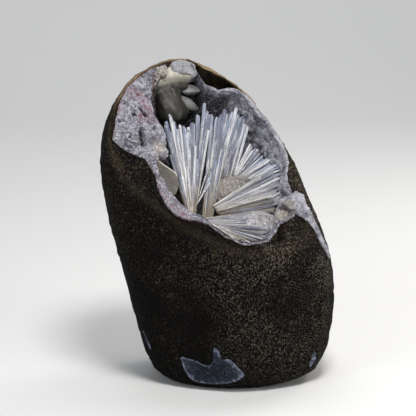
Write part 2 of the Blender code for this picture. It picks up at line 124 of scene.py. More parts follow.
def above_skin(points):
    """Super-ellipse ratio less one, times the smaller half-width, cut by the flats and the ground."""
    x, y, z = points[..., 0], points[..., 1], points[..., 2]
    left, right, front, back = extents(z)
    half_x, half_y = (right + left) / 2, (back + front) / 2
    ratio = (np.abs((x - (right - left) / 2) / half_x) ** SQUARENESS
             + np.abs((y - (back - front) / 2) / half_y) ** SQUARENESS) ** (1 / SQUARENESS)
    distance = np.maximum((ratio - 1) * np.minimum(half_x, half_y), z - EXTENTS[0, -1])
    for faces, point, softness in DRESSED_FACES:
        distance = soft_max(distance, (points - np.array(point)) @ unit(faces), softness)
    return np.maximum(distance, -z)


def above_body(points):
    """The skin's distance and the break's, the larger of the two with a soft edge."""
    return soft_max(above_skin(points), (points - BREAK_POINT) @ UPWARD, EDGE_SOFTNESS)


def cast(distance, start, directions, reach=0.26):
    """Where rays from inside meet a surface: the span from inside to outside is halved again and again."""
    near = np.zeros(directions.shape[:-1])
    far = np.full(directions.shape[:-1], reach)
    for _ in range(HALVINGS):
        middle = (near + far) / 2
        inside = distance(start + middle[..., None] * directions) < 0
        near, far = np.where(inside, middle, near), np.where(inside, far, middle)
    return start + ((near + far) / 2)[..., None] * directions


def lattice(cell, seed):
    """A number from -1 to 1 for each whole-numbered cell, by mixing the bits of its coordinates."""
    mixed = (cell[..., 0] * 73856093) ^ (cell[..., 1] * 19349663) ^ (cell[..., 2] * 83492791)
    mixed = (mixed ^ (seed * 2654435761)) & 0xFFFFFFFF
    mixed = ((mixed ^ (mixed >> 15)) * 2246822519) & 0xFFFFFFFF
    mixed = ((mixed ^ (mixed >> 13)) * 3266489917) & 0xFFFFFFFF
    return ((mixed ^ (mixed >> 16)) & 0xFFFF) / 32767.5 - 1


def lumps(points, size, seed, octaves=1):
    """Lattice numbers eased between the eight corners round a point, plus finer, weaker copies."""
    total, strength, whole = 0.0, 1.0, 0.0
    for octave in range(octaves):
        place = points / size + 31.7
        cell = np.floor(place).astype(np.int64)
        s = eased(place - cell)
        value = 0.0
        for corner in np.ndindex(2, 2, 2):
            weight = np.prod(np.where(corner, s, 1 - s), axis=-1)
            value = value + weight * lattice(cell + np.array(corner), seed + octave)
        total, whole = total + strength * value, whole + strength
        size, strength = size / 2, strength / 2
    return total / whole


def pebbles(points, size, seed):
    """Distances to the two nearest of points scattered one to a lattice cell, and the nearest's number."""
    place = points / size + 57.3
    cell = np.floor(place).astype(np.int64)
    first = np.full(points.shape[:-1], 9.0)
    second = first.copy()
    number = np.zeros(points.shape[:-1])
    for corner in np.ndindex(3, 3, 3):
        other = cell + np.array(corner) - 1
        seat = other + 0.5 + 0.45 * np.stack([lattice(other, seed + k) for k in range(3)], axis=-1)
        far = np.linalg.norm(place - seat, axis=-1)
        nearer = far < first
        second = np.where(nearer, first, np.minimum(second, far))
        number = np.where(nearer, lattice(other, seed + 3), number)
        first = np.where(nearer, far, first)
    return first, second, number


def blocks(points, size, seed):
    """Blocks: each nearest-point cell stands at its own height, with a groove between cells."""
    first, second, number = pebbles(points, size, seed)
    return number * np.clip(GROOVE * (second - first), 0, 1)


def slopes_out(rings, outward):
    """Unit normals of a grid of rings, by crossing its central differences, on the outward way's side."""
    around = np.roll(rings, -1, axis=1) - np.roll(rings, 1, axis=1)
    normals = np.cross(around, np.gradient(rings, axis=0))
    normals = normals / np.maximum(np.linalg.norm(normals, axis=-1, keepdims=True), 1e-12)
    return normals * np.sign(np.sum(normals * outward))


def several(shells, poles=None):
    """Corners, quads and cap triangles of closed shells of rings, each facing outwards, in one list.

    Quads join each ring to the next; triangles join the end rings to poles at their means.
    """
    corners, quads, caps, count = [], [], [], 0
    for rings in shells:
        first, last = poles or (rings[0].mean(axis=0), rings[-1].mean(axis=0))
        own = np.concatenate([[first], rings.reshape(-1, 3), [last]])
        i = np.arange(rings.shape[1])
        j = (i + 1) % len(i)
        start = 1 + len(i) * np.arange(len(rings) - 1)[:, None]
        sides = np.stack([start + i, start + j, start + len(i) + j, start + len(i) + i], axis=-1)
        sides = sides.reshape(-1, 4)
        end = len(own) - 1 - len(i)
        tops = np.concatenate([np.stack([0 * i, 1 + j, 1 + i], axis=-1),
                               np.stack([end + i, end + j, 0 * i + len(own) - 1], axis=-1)])
        a, b, c = (own[sides[:, k]] for k in range(3))
        if np.einsum("ij,ij->", a - own.mean(axis=0), np.cross(b - a, c - a)) < 0:
            sides, tops = sides[:, ::-1], tops[:, ::-1]
        corners.append(own)
        quads.append(sides + count)
        caps.append(tops + count)
        count += len(own)
    return np.concatenate(corners), np.concatenate(quads), np.concatenate(caps)


def make_piece(name, parts, sharp_above):
    """Mesh object at the origin, of corners, quads and triangles; edges above an angle stay sharp."""
    vertices, quads, triangles = parts
    mesh = bpy.data.meshes.new(name)
    mesh.vertices.add(len(vertices))
    mesh.vertices.foreach_set("co", vertices.astype(np.float32).ravel())
    mesh.loops.add(quads.size + triangles.size)
    mesh.loops.foreach_set("vertex_index", np.concatenate([quads.ravel(), triangles.ravel()]))
    mesh.polygons.add(len(quads) + len(triangles))
    starts = np.concatenate([4 * np.arange(len(quads)), quads.size + 3 * np.arange(len(triangles))])
    mesh.polygons.foreach_set("loop_start", starts)
    mesh.update(calc_edges=True)
    mesh.validate()
    mesh.shade_smooth()
    mesh.set_sharp_from_angle(angle=np.radians(sharp_above))
    piece = bpy.data.objects.new(name, mesh)
    bpy.context.scene.collection.objects.link(piece)
    return piece


def paint(piece, **layers):
    """Stores a number, or three, for each corner point of the mesh under each name."""
    for name, values in layers.items():
        values = np.asarray(values, dtype=np.float32)
        kind, field = ("FLOAT", "value") if values.ndim == 1 else ("FLOAT_VECTOR", "vector")
        layer = piece.data.attributes.new(name, kind, "POINT")
        layer.data.foreach_set(field, values.ravel())


def padded(values):
    """A grid's numbers with the first and last ring's mean added for the poles."""
    return np.concatenate([[values[0].mean()], values.ravel(), [values[-1].mean()]])


class Finish:
    """A material of shader nodes; its colour is laid on in layers over a first mix."""

    def __init__(self, name, shown, roughness, **constants):
        """New material with one colour, a roughness and the other sockets' constant values."""
        self.material = bpy.data.materials.new(name)
        self.material.use_nodes = True
        self.material.diffuse_color = (*shown, 1)
        self.tree = self.material.node_tree
        self.surface = self.tree.nodes["Principled BSDF"]
        self.surface.inputs["Base Color"].default_value = (*shown, 1)
        self.surface.inputs["Roughness"].default_value = roughness
        for socket, value in constants.items():
            self.surface.inputs[socket.replace("_", " ")].default_value = value

    def node(self, kind, inputs=(), **settings):
        """Adds a shader node; an input is a number, a colour, or another node's output to link."""
        made = self.tree.nodes.new("ShaderNode" + kind)
        for name, value in settings.items():
            setattr(made, name, value)
        for name, value in dict(inputs).items():
            if isinstance(value, bpy.types.NodeSocket):
                self.tree.links.new(value, made.inputs[name])
            else:
                made.inputs[name].default_value = value
        return made

    def place(self):
        """Each point's own place on the object, from one shared node."""
        shared = self.tree.nodes.get("Texture Coordinate") or self.node("TexCoord")
        return shared.outputs["Object"]

    def painted(self, name, output="Fac"):
        """A number that is stored on the mesh."""
        return self.node("Attribute", attribute_name=name).outputs[output]

    def noise(self, scale, detail=2.0, roughness=0.55, at=None, output=0):
        """Cloudy noise at a scale given in features to the metre."""
        at = self.place() if at is None else at
        return self.node("TexNoise", {"Vector": at, "Scale": scale, "Detail": detail,
                                      "Roughness": roughness}).outputs[output]

    def cells(self, scale, at=None, **settings):
        """Outputs of cells round scattered points, at a scale given in cells to the metre."""
        at = self.place() if at is None else at
        return self.node("TexVoronoi", {"Vector": at, "Scale": scale}, **settings).outputs

    def split(self, colour):
        """A colour's three numbers."""
        return self.node("SeparateColor", {0: colour}).outputs

    def vectors(self, kind, *inputs):
        """One sum of vectors."""
        return self.node("VectorMath", dict(enumerate(inputs)), operation=kind).outputs

    def sums(self, kind, first, second=0.0):
        """One sum of two numbers or node outputs."""
        return self.node("Math", {0: first, 1: second}, operation=kind).outputs[0]

    def times(self, product, *others):
        """Numbers or node outputs multiplied together."""
        for other in others:
            product = self.sums("MULTIPLY", product, other)
        return product

    def steps(self, value, low, high, to_low=0.0, to_high=1.0):
        """Straight ramp of a value between two levels, held flat beyond them."""
        return self.node("MapRange", {"Value": value, "From Min": low, "From Max": high,
                                      "To Min": to_low, "To Max": to_high}).outputs[0]

    def mix(self, share, first, second):
        """Colour mixed from two by a share from 0 to 1."""
        first, second = (c if isinstance(c, bpy.types.NodeSocket) else (*c, 1) for c in (first, second))
        return self.node("Mix", {0: share, 6: first, 7: second}, data_type="RGBA").outputs[2]

    def lay(self, share, colour):
        """Lays a colour over what is there, by a share from 0 to 1."""
        self.colour = self.mix(share, self.colour, colour)

    def bump(self, height, strength, distance, over=None):
        """Surface direction tilted by a height, over another bump if there is one."""
        inputs = {"Height": height, "Strength": strength, "Distance": distance}
        return self.node("Bump", inputs if over is None else inputs | {"Normal": over}).outputs[0]

    def join(self, roughness, normal):
        """Links the colour, the roughness and the surface direction to the shader."""
        for socket, value in (("Base Color", self.colour), ("Roughness", roughness), ("Normal", normal)):
            self.tree.links.new(value, self.surface.inputs[socket])


# The crust's outer edge on the break: angle, and distance from the mouth's middle in millimetres
CRUST_RIM = [(-180, 48.5), (-168, 47), (-158, 50.5), (-147, 54), (-136, 57), (-128, 57.2), (-120, 54.5),
             (-110, 54.5), (-99, 62), (-88, 69.5), (-73, 71), (-60, 64.5), (-49, 67.5), (-37, 61),
             (-27, 54), (-19, 52), (-9, 54), (3, 54.5), (13, 54.5), (23, 55), (33, 56.5), (43, 58),
             (54, 64.5), (63, 66), (73, 61), (82, 64), (88, 82), (97, 85), (107, 84), (118, 82.5),
             (127, 81), (137, 77), (145, 75), (153, 73), (162, 72.5), (168, 63), (174, 50)]
ROCK_AT_RIM = 0.0024
RIM_RAGGED = 0.0008
HOLLOW_DEPTH = 0.050
CRUST_BELOW = 0.005
# Powers of the hollow's depth, steep at the back and gentler where the front wall is
STEEP_WALL = (3.2, 0.8)
FRONT_WALL = (1.7, 1.0)
FRONT_ANGLE = -110.0
MERIDIANS = 400
BOTTOM_LEVELS = np.linspace(0.30, 1.0, 9)

degrees = -180 + 360 * np.arange(MERIDIANS) / MERIDIANS
turn = np.radians(degrees)
spokes = np.cos(turn)[:, None] * LEVEL + np.sin(turn)[:, None] * UPSLOPE


def around(table, degrees):
    """An outline's radius in metres, straight between its knots."""
    knots = np.array(table)
    return np.interp(degrees, knots[:, 0], knots[:, 1] / 1000, period=360)


def polar(radius, down):
    """Points on each meridian, at a radius from the mouth's middle and down below the break."""
    return on_break(radius * np.cos(turn), radius * np.sin(turn), down)


def bowl_depth(degrees, level, depth):
    """Depth times (1 - level to a power) to another power, gentler at the front than elsewhere."""
    front = (0.5 + 0.5 * np.cos(np.radians(degrees - FRONT_ANGLE))) ** 2
    power, outer_power = (steep + front * (gentle - steep) for steep, gentle in zip(STEEP_WALL, FRONT_WALL))
    return depth * np.clip(1 - level**power, 0, 1) ** outer_power


def bowl(radius, depth, levels):
    """Rings below the break: radius times a level, at the bowl's depth there."""
    levels = levels[:, None]
    return polar(radius * levels, bowl_depth(degrees[None], levels, depth))


skin_edge = cast(above_skin, MOUTH, spokes)
to_skin = np.linalg.norm(skin_edge - MOUTH, axis=1)
ragged = RIM_RAGGED * lumps(MOUTH + 0.07 * spokes, 0.004, 11, octaves=2)
crust_edge = np.minimum(around(CRUST_RIM, degrees) + ragged, to_skin - ROCK_AT_RIM)

FACE_RINGS = 26
SKIN_RINGS = 168
ON_GROUND = 1e-5
TOP_CLEAR = 0.0002
FACE_SIZE, FACE_ROUGH = 0.005, 0.0006
# Notch in the break's upper edge: depth, angles, the share of the break's width at which its outer
# strip begins, and its roughness
NOTCH_DEPTH = 0.0095
NOTCH_ANGLES = (46.0, 90.0)
NOTCH_STRIP = 0.70
NOTCH_SIZE, NOTCH_ROUGH = 0.004, 0.3
# Painted highlight: a tan strip along the break's edge, where the light from above catches it: its width, and
# where up the slope it starts and how soon it is full
WORN_WIDTH = 0.0033
WORN_START, WORN_EASE, WORN_LEAST = 0.035, 0.025, 0.05
# Dressing of the skin: how far it lies inside the lofted one, and sizes and depths of its marks
SKIN_BELOW = 0.0011
FLAT_SIZE, FLAT_DEPTH = 0.017, 0.0006
SWELL_SIZE, SWELL_DEPTH = 0.011, 0.00035
STROKE_SIZE, STROKE_DEPTH, STROKE_STRETCH = 0.0019, 0.00024, 2.2
STROKE_PATCH, STROKE_TURN, STROKE_SWAY = 0.021, 0.3, 0.7
CHIP_SIZE, CHIP_DEPTH = 0.0036, 0.00038
# Pits and hollows in the rock: middle, radius, depth
ROCK_PITS = [((0.0406, -0.0394, 0.1140), 0.0062, 0.0065), ((0.0440, -0.0350, 0.1160), 0.0030, 0.0045),
             ((0.0240, -0.0540, 0.1075), 0.0016, 0.0022), ((-0.0245, -0.0535, 0.1212), 0.0030, 0.0016),
             ((-0.0190, -0.0545, 0.1195), 0.0018, 0.0014), ((0.0480, -0.0120, 0.1385), 0.0030, 0.0045),
             ((0.0530, -0.0080, 0.1350), 0.0026, 0.0040), ((0.0300, -0.0560, 0.1010), 0.0022, 0.0012)]
# Gas bubbles that chalcedony has filled: middle on the skin, outline to the right and up, thickness,
# and how pale the filling is all over
BUBBLES = {
    "chalcedony_patch": dict(
        middle=(-0.0045, -0.0480, 0.0145), thickness=0.0040, pale=0.0,
        outline=[(-0.0235, 0.0095), (-0.0145, 0.0082), (-0.0040, 0.0040), (0.0005, 0.0072),
                 (0.0014, 0.0200), (0.0046, 0.0190), (0.0062, 0.0110), (0.0135, 0.0110),
                 (0.0225, -0.0020), (0.0165, -0.0070), (0.0100, -0.0096), (-0.0010, -0.0108),
                 (-0.0125, -0.0102), (-0.0185, -0.0062), (-0.0212, 0.0000)]),
    "chalcedony_streak": dict(
        middle=(-0.0503, -0.0247, 0.0315), thickness=0.0020, pale=0.88,
        outline=[(-0.0034, 0.0066), (-0.0018, 0.0070), (0.0008, 0.0008), (0.0034, -0.0064),
                 (0.0018, -0.0070), (-0.0010, -0.0008)]),
    "chalcedony_spot": dict(
        middle=(0.0670, -0.0278, 0.0178), thickness=0.0025, pale=0.94,
        outline=[(-0.0010, 0.0052), (0.0014, 0.0060), (0.0030, 0.0022), (0.0018, -0.0030),
                 (-0.0004, -0.0062), (-0.0026, -0.0040), (-0.0028, 0.0010)]),
}
LARGEST_BUBBLE = 0.034
POCKET_DEPTH = 0.0036
POCKET_EDGE = 0.0012


def facing(middle):
    """Outward, rightward and upward directions of the skin, from its central differences."""
    axes = 1e-4 * np.eye(3)
    out = unit([above_skin(middle + axis) - above_skin(middle - axis) for axis in axes])
    right = unit(np.cross((0.0, 0.0, 1.0), out))
    return out, right, np.cross(out, right)


def outline_reach(outline, angles):
    """Radius of a closed outline at each angle: the farthest of the rays' crossings with its sides."""
    start = np.array(outline)
    side = np.roll(start, -1, axis=0) - start
    ray = np.stack([np.cos(angles), np.sin(angles)], axis=-1)[..., None, :]
    turn = ray[..., 0] * side[:, 1] - ray[..., 1] * side[:, 0]
    turn = np.where(np.abs(turn) < 1e-12, 1e-12, turn)
    reach = (start[:, 0] * side[:, 1] - start[:, 1] * side[:, 0]) / turn
    share = (start[:, 0] * ray[..., 1] - start[:, 1] * ray[..., 0]) / turn
    return np.where((share >= 0) & (share <= 1) & (reach > 0), reach, 0).max(axis=-1)


def pockets(points):
    """Depth of the rock under each filled bubble: a smooth step, from its outline inwards."""
    depth = np.zeros(points.shape[:-1])
    for bubble in BUBBLES.values():
        out, right, upward = facing(np.array(bubble["middle"]))
        offset = points - np.array(bubble["middle"])
        close = np.linalg.norm(offset, axis=-1) < LARGEST_BUBBLE
        across, up = offset[close] @ right, offset[close] @ upward
        inside = outline_reach(bubble["outline"], np.arctan2(up, across)) - np.hypot(across, up)
        depth[close] = np.maximum(depth[close], POCKET_DEPTH * eased(ramp(inside, 0, POCKET_EDGE)))
    return depth


def strokes(points, seed):
    """Noise drawn out along a slanting line, which turns by a random angle from flat to flat."""
    turned = STROKE_TURN + STROKE_SWAY * pebbles(points, STROKE_PATCH, seed)[2]
    across = points[..., 0] * np.cos(turned) - points[..., 2] * np.sin(turned)
    along = points[..., 0] * np.sin(turned) + points[..., 2] * np.cos(turned)
    return lumps(np.stack([across, points[..., 1], along / STROKE_STRETCH], axis=-1), STROKE_SIZE, seed + 5)


def dressed(skin):
    """Depth of the dressing below the lofted skin: flats, swells, drawn-out strokes, chips and pits."""
    first, second, _ = pebbles(skin, FLAT_SIZE, 31)
    depth = SKIN_BELOW - FLAT_DEPTH * np.clip(second - first, 0, 0.6)
    depth = depth + SWELL_DEPTH * lumps(skin, SWELL_SIZE, 32, octaves=2)
    depth = depth + STROKE_DEPTH * strokes(skin, 33) + CHIP_DEPTH * blocks(skin, CHIP_SIZE, 34)
    for middle, radius, deep in ROCK_PITS:
        far = np.linalg.norm(skin - np.array(middle), axis=-1)
        depth = depth + deep * np.exp(-((far / radius) ** 2))
    return depth + pockets(skin)


def boulder_rings():
    """Rings up the hollow's wall, out over the break, and along arcs from its edge down to the foot."""
    wall = bowl(crust_edge, HOLLOW_DEPTH + CRUST_BELOW, BOTTOM_LEVELS)
    share = np.linspace(0, 1, FACE_RINGS + 1)[1:-1, None]
    radius = crust_edge + share * (to_skin - crust_edge)
    face = cast(above_body, CORE, unit(polar(radius, 0.0) - CORE))
    first, last = NOTCH_ANGLES
    window = np.sin(np.pi * ramp(degrees, first, last - first)) ** 0.6
    recess = window * np.sin(np.pi * ramp(share, 0, NOTCH_STRIP)) ** 0.6
    strip = np.sign(window) * ramp(share, NOTCH_STRIP, 0.04)
    sunk = NOTCH_DEPTH * recess * (1 + NOTCH_ROUGH * lumps(face, NOTCH_SIZE, 22, octaves=2))
    rough = FACE_ROUGH * lumps(face, FACE_SIZE, 21, octaves=3) * np.minimum(1, 6 * share)
    face = face + (rough - sunk)[..., None] * UPWARD
    start = unit(skin_edge - CORE)
    foot = np.array((0.0, 0.0, -1.0))
    whole = np.arccos(start @ foot)[:, None]
    along = np.linspace(0.0, 1.0, SKIN_RINGS + 2)[1:-1, None, None] ** 1.08
    ray = (np.sin((1 - along) * whole) * start + np.sin(along * whole) * foot) / np.sin(whole)
    return wall, face, cast(above_body, CORE, ray), recess, strip


wall, face, skin, recess, strip = boulder_rings()
rings = np.concatenate([wall, face, skin])
on_wall, on_face, on_skin = slice(len(wall)), slice(len(wall), -SKIN_RINGS), slice(-SKIN_RINGS, None)
outward = np.zeros(rings.shape)
outward[on_skin] = skin - CORE
out = slopes_out(rings, outward)
depth = dressed(rings)
depth[on_wall] = 0.0
depth[on_face] *= np.clip(3 * np.linspace(0, 1, len(face)), 0, 1)[:, None] ** 2
across, up, down = from_break(rings)
# Painted highlight along the break's edge, stronger up the slope, and on the notch's outer strip; none on the
# hollow's wall
worn = np.exp(-((above_skin(rings) - (rings - BREAK_POINT) @ UPWARD) / WORN_WIDTH) ** 2)
worn[on_face] = worn[on_face] * (1 - np.clip(3 * recess, 0, 1)) + strip
worn *= np.maximum(ramp(up + 0.2 * across, WORN_START, WORN_EASE), WORN_LEAST)
worn[on_wall] = 0.0
# Painted shade in recesses: the hollow's wall, the notch and the pits are marked to be laid near black, with
# rust brown in patches
broken = np.zeros(rings.shape[:2])
broken[on_wall] = 1.0
broken[on_face] = recess**0.7
for middle, radius, deep in ROCK_PITS:
    far = np.linalg.norm(rings - np.array(middle), axis=-1)
    broken = np.maximum(broken, np.exp(-((far / (1.2 * radius)) ** 2)))
rings = rings - depth[..., None] * out
rings[..., 2] = np.clip(rings[..., 2], 0.0, cad_box[1][2] - TOP_CLEAR)
rings[on_skin][skin[..., 2] < ON_GROUND, 2] = 0.0
poles = (on_break(0, 0, HOLLOW_DEPTH + CRUST_BELOW), CORE * (1, 1, 0))
boulder = make_piece("basalt_body", several([rings], poles), 180)
paint(boulder, broken=padded(broken), worn=padded(worn))

look = Finish("dressed_basalt", (0.045, 0.038, 0.032), 0.85, Specular_IOR_Level=0.06)
sway = look.vectors("MULTIPLY_ADD", look.noise(60, output=1), (0.010,) * 3, look.place())[0]
angle = look.steps(look.split(look.cells(46, sway)["Color"])[0], 0.0, 1.0, -0.5, 1.1)
turned = look.node("VectorRotate", {"Vector": look.place(), "Angle": angle}, rotation_type="Y_AXIS")
stroke = look.noise(1180, 1.0, at=look.vectors("MULTIPLY", turned.outputs[0], (1.0, 0.85, 0.46))[0])
grain = look.noise(1700, 2.0)
broad = look.noise(22, 3.0)
swayed = look.node("SeparateXYZ", {0: sway}).outputs
# The rock's tone: strokes, grain and broad patches, times painted light that makes it lighter to the right,
# where the light falls, and painted shade that darkens it towards the foot
tone = look.times(look.steps(stroke, 0.49, 0.64), look.steps(grain, 0.43, 0.62),
                  look.steps(broad, 0.38, 0.62, 0.20, 1.10), look.steps(swayed[0], -0.015, 0.050, 0.26, 1.22),
                  look.steps(swayed[2], 0.005, 0.085, 0.32, 1.05))
look.colour = look.mix(tone, (0.0030, 0.0026, 0.0022), (0.25, 0.214, 0.163))
specks = look.cells(520)
kind = look.split(specks["Color"])
here = look.times(look.steps(specks["Distance"], 0.42, 0.12), look.steps(kind[0], 0.74, 1.0),
                  look.steps(broad, 0.44, 0.60), 0.75)
look.lay(here, look.mix(look.steps(kind[1], 0.4, 0.6), (0.17, 0.105, 0.050), (0.15, 0.15, 0.16)))
rust = look.steps(look.noise(190, 4.0), 0.55, 0.80)
# Painted shade with real rust: the recesses are laid near black to rusty brown
look.lay(look.painted("broken"), look.mix(rust, (0.0040, 0.0030, 0.0022), (0.060, 0.036, 0.016)))
# Painted highlight: tan where the break's edge catches the light
look.lay(look.times(look.painted("worn"), look.steps(grain, 0.30, 0.62, 0.40, 0.95)), (0.34, 0.25, 0.15))
struck = look.bump(stroke, 1.0, 0.0014)
look.join(look.steps(grain, 0.3, 0.7, 0.70, 0.92), look.bump(grain, 1.0, 0.0009, struck))
boulder.data.materials.append(look.material)
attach(boulder, "root")
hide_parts("basalt_boulder")


# Chalcedony fills three old gas bubbles in the rock, and the dressing cut them open. Each is
# a flush, waxy, slate-blue inlay with a paler rim, dished where it weathered faster than the basalt.
INLAY_AROUND = 180
INLAY_RINGS = 26
INLAY_RISE = 0.0004
INLAY_DISH = 0.0007
OUTLINE_SIZE, OUTLINE_ROUGH = 0.0020, 0.0007
DISH_SIZE, DISH_ROUGH = 0.0035, 0.00030
RAY_START, RAY_REACH = 0.030, 0.080
# Rings under an inlay: share of its thickness, and how far they are drawn in
INLAY_UNDER = np.array([(0.3, 0.01), (0.7, 0.03), (1.0, 0.10)])


def rounded(outline, count, cuts=3, kept=0.82):
    """Closed outline with its corners cut off again and again, then points at even spacing along it."""
    points = np.array(outline)
    for _ in range(cuts):
        following = np.roll(points, -1, axis=0)
        points = np.stack([kept * points + (1 - kept) * following,
                           (1 - kept) * points + kept * following], axis=1).reshape(-1, points.shape[1])
    closed = np.concatenate([points, points[:1]])
    length = np.concatenate([[0], np.cumsum(np.linalg.norm(np.diff(closed, axis=0), axis=1))])
    at = np.linspace(0, length[-1], count + 1)[:-1]
    return np.stack([np.interp(at, length, closed[:, k]) for k in range(points.shape[1])], axis=-1)


def inlay(bubble):
    """Rings cast onto the skin at shares of the outline, lowered by a dish, then drawn inwards below it."""
    middle = np.array(bubble["middle"])
    out, right, upward = facing(middle)
    share = np.linspace(0.03, 1.0, INLAY_RINGS)[:, None]
    outline = rounded(bubble["outline"], INLAY_AROUND)
    flat = np.append(outline, 0 * outline[:, :1], axis=1)
    ragged = OUTLINE_ROUGH * lumps(flat, OUTLINE_SIZE, 42, octaves=3)
    outline = outline * (1 + ragged / np.linalg.norm(outline, axis=1))[:, None]
    across, up = share * outline[:, 0], share * outline[:, 1]
    start = middle - RAY_START * out + across[..., None] * right + up[..., None] * upward
    top = cast(above_skin, start, out, RAY_REACH)
    dish = INLAY_DISH * (1 - share**3) + DISH_ROUGH * lumps(top, DISH_SIZE, 41, octaves=3)
    lip = INLAY_RISE * (1 - ramp(share, 0.90, 0.10) ** 2)
    top = top + (lip - dish - SKIN_BELOW)[..., None] * out
    deep, drawn = (INLAY_UNDER[:, k, None, None] for k in range(2))
    below = top[-1:] * (1 - drawn) + top[:1].mean(axis=1) * drawn - deep * bubble["thickness"] * out
    share = np.concatenate([share * np.ones(INLAY_AROUND), np.ones((len(deep), INLAY_AROUND))])
    return np.concatenate([top, below]), share


look = Finish("waxy_chalcedony", (0.22, 0.27, 0.36), 0.28, Coat_Weight=0.03, Specular_IOR_Level=0.12,
              Coat_Roughness=0.18)
cloud = look.noise(260, 4.0)
ring = look.sums("ADD", look.painted("rim"), look.times(look.sums("SUBTRACT", cloud, 0.5), 0.75))
bands = look.sums("SINE", look.times(ring, 34.0))
look.colour = look.mix(look.steps(ring, 0.35, 0.80), (0.0035, 0.0050, 0.0095), (0.013, 0.018, 0.031))
look.lay(look.steps(bands, 0.2, 1.0, 0.0, 0.30), (0.045, 0.060, 0.092))
pale_rim = look.times(look.steps(ring, 0.84, 1.02), look.steps(cloud, 0.36, 0.60, 0.40, 1.0))
look.lay(pale_rim, (0.205, 0.235, 0.315))
look.lay(look.steps(look.noise(900, 2.0), 0.64, 0.74), (0.22, 0.26, 0.33))
look.join(look.steps(cloud, 0.35, 0.65, 0.18, 0.42), look.bump(cloud, 0.6, 0.0006))
for name, bubble in BUBBLES.items():
    rings, share = inlay(bubble)
    piece = make_piece(name + "_inlay", several([rings]), 60)
    paint(piece, rim=np.maximum(padded(share), bubble["pale"]))
    piece.data.materials.append(look.material)
    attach(piece, "root")
    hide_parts(name)


# White zeolite crust grew on the hollow's wall before the needles did: sugary, lilac-white, and
# widest on the break at the upper left, where it is veined with pink and has come away in places.
CRUST_GAP = 0.00025
CRUST_PROUD = 0.0011
MOUTH_RAGGED = 0.0009
NARROWEST = 0.0010
# Where the crust thins to a narrow lip: angles, width, and degrees over which it narrows
LIP_ANGLES, LIP_WIDTH, LIP_EASE = (-165.0, -30.0), 0.0013, 12
CUT_RINGS = 46
WALL_RINGS = 96
# Growth on the crust, size and height of each kind
SWELL = (0.011, 0.00070)
KNOB = (0.0062, 0.0010)
COARSE_GRIT = (0.0034, 0.00042)
FINE_GRIT = (0.0020, 0.00030)
# The crust's inner edge on the break: angle, and distance from the mouth's middle in millimetres
MOUTH_RIM = [(-180, 43), (-168, 44), (-158, 47.5), (-147, 51), (-136, 54.2), (-128, 54.5), (-120, 52),
             (-110, 52), (-99, 59), (-88, 66), (-73, 67), (-60, 60.5), (-49, 59), (-37, 52), (-27, 50),
             (-9, 50.5), (13, 51), (33, 53), (43, 54.5), (54, 60.5), (63, 62), (73, 57.5), (82, 62),
             (88, 80.8), (97, 83.4), (104, 78.8), (112, 70), (120, 65), (127, 56), (133, 45), (140, 39),
             (150, 35.5), (160, 37), (170, 41)]
# Tongue over the right flank: points on its middle line and its half-width there, in millimetres
TONGUE = np.array([
    (48.0, -16.0, 133.6, 7.5), (53.0, -19.0, 128.5, 6.4), (58.0, -21.5, 123.0, 4.6),
    (63.5, -23.0, 117.0, 3.3), (68.0, -24.0, 110.0, 2.8), (72.5, -22.5, 102.0, 3.1),
    (75.5, -19.0, 94.5, 2.6), (77.5, -17.0, 89.5, 1.2)]) / 1000
TONGUE_RINGS, TONGUE_SIDES = 120, 28
TONGUE_HEIGHT = 0.0023
# Share of painted light on the tongue
TONGUE_PALE = 0.55
# Hollows in the crust: points across and up the break in millimetres, width, depth
CRUST_DIPS = [([(-46.5, 29.9), (-47.8, 23.0), (-48.3, 16.8)], 1.5, 5.0), ([(-29.6, 61.4)], 1.7, 4.5),
              ([(-29.3, 51.0)], 1.9, 5.0), ([(-52.6, 53.0)], 1.5, 3.0), ([(-48.9, 42.6)], 1.6, 3.5),
              ([(-43.5, 48.0), (-40.3, 40.2)], 1.3, 2.6), ([(-35.5, 57.0)], 1.3, 2.4),
              ([(-60.0, 38.0)], 1.6, 2.0), ([(-13.0, 84.0), (-11.0, 77.5)], 2.4, 5.0),
              ([(-37.0, 30.0)], 1.4, 2.2), ([(-33.0, 42.0), (-31.0, 33.0)], 1.5, 2.0)]
# Ledge of sugary crust along the front wall's left part, and colour patches: points, width
LEDGE_BELOW, LEDGE_RISE = 0.0040, 0.86
LEDGE = [([(-43.0, -11.0), (-40.0, -21.0), (-35.5, -29.5), (-30.5, -37.0), (-22.0, -44.0)], 6.6),
         ([(47.0, -31.0), (44.0, -38.0), (38.0, -45.0)], 6.0)]
PINK = [([(-49.0, 64.6), (-40.8, 56.3), (-37.8, 47.6), (-35.9, 37.3)], 3.6),
        ([(-43.4, 39.6)], 3.8), ([(-44.0, -20.0), (-38.0, -31.0), (-29.0, -41.0)], 2.6),
        ([(-58.0, 47.0)], 2.0)]
# Painted shade: grey patches in the crust's hollows
SMOKY = [([(44.0, -40.0), (38.0, -45.0)], 4.5), ([(-29.8, 70.8)], 4.0), ([(-62.4, 27.1)], 4.5),
         ([(-40.0, 22.0)], 2.5), ([(35.0, 29.0), (44.0, 31.0)], 3.4), ([(43.7, 18.5)], 3.0),
         ([(-54.0, 46.0)], 2.5)]
CREAM = [([(-37.7, 12.9)], 5.0), ([(-18.7, 78.0), (-21.0, 72.0)], 3.5), ([(43.0, -42.0), (37.0, -46.0)], 4.0)]
RUSTY = [([(-26.3, 71.0), (-28.0, 64.4), (-27.2, 55.3), (-25.5, 48.2)], 2.2),
         ([(-13.0, 84.0), (-11.0, 77.5)], 2.6)]
# Cream knobs on the crust: middle across, up and below the break, half-widths, and the angle of the
# long way on the break
CHUNKS = [dict(middle=(-37.0, 12.5, 2.6), half=(5.4, 6.6, 4.2), angle=30.0),
          dict(middle=(-18.5, 78.0, 2.2), half=(5.0, 5.5, 3.6), angle=70.0)]


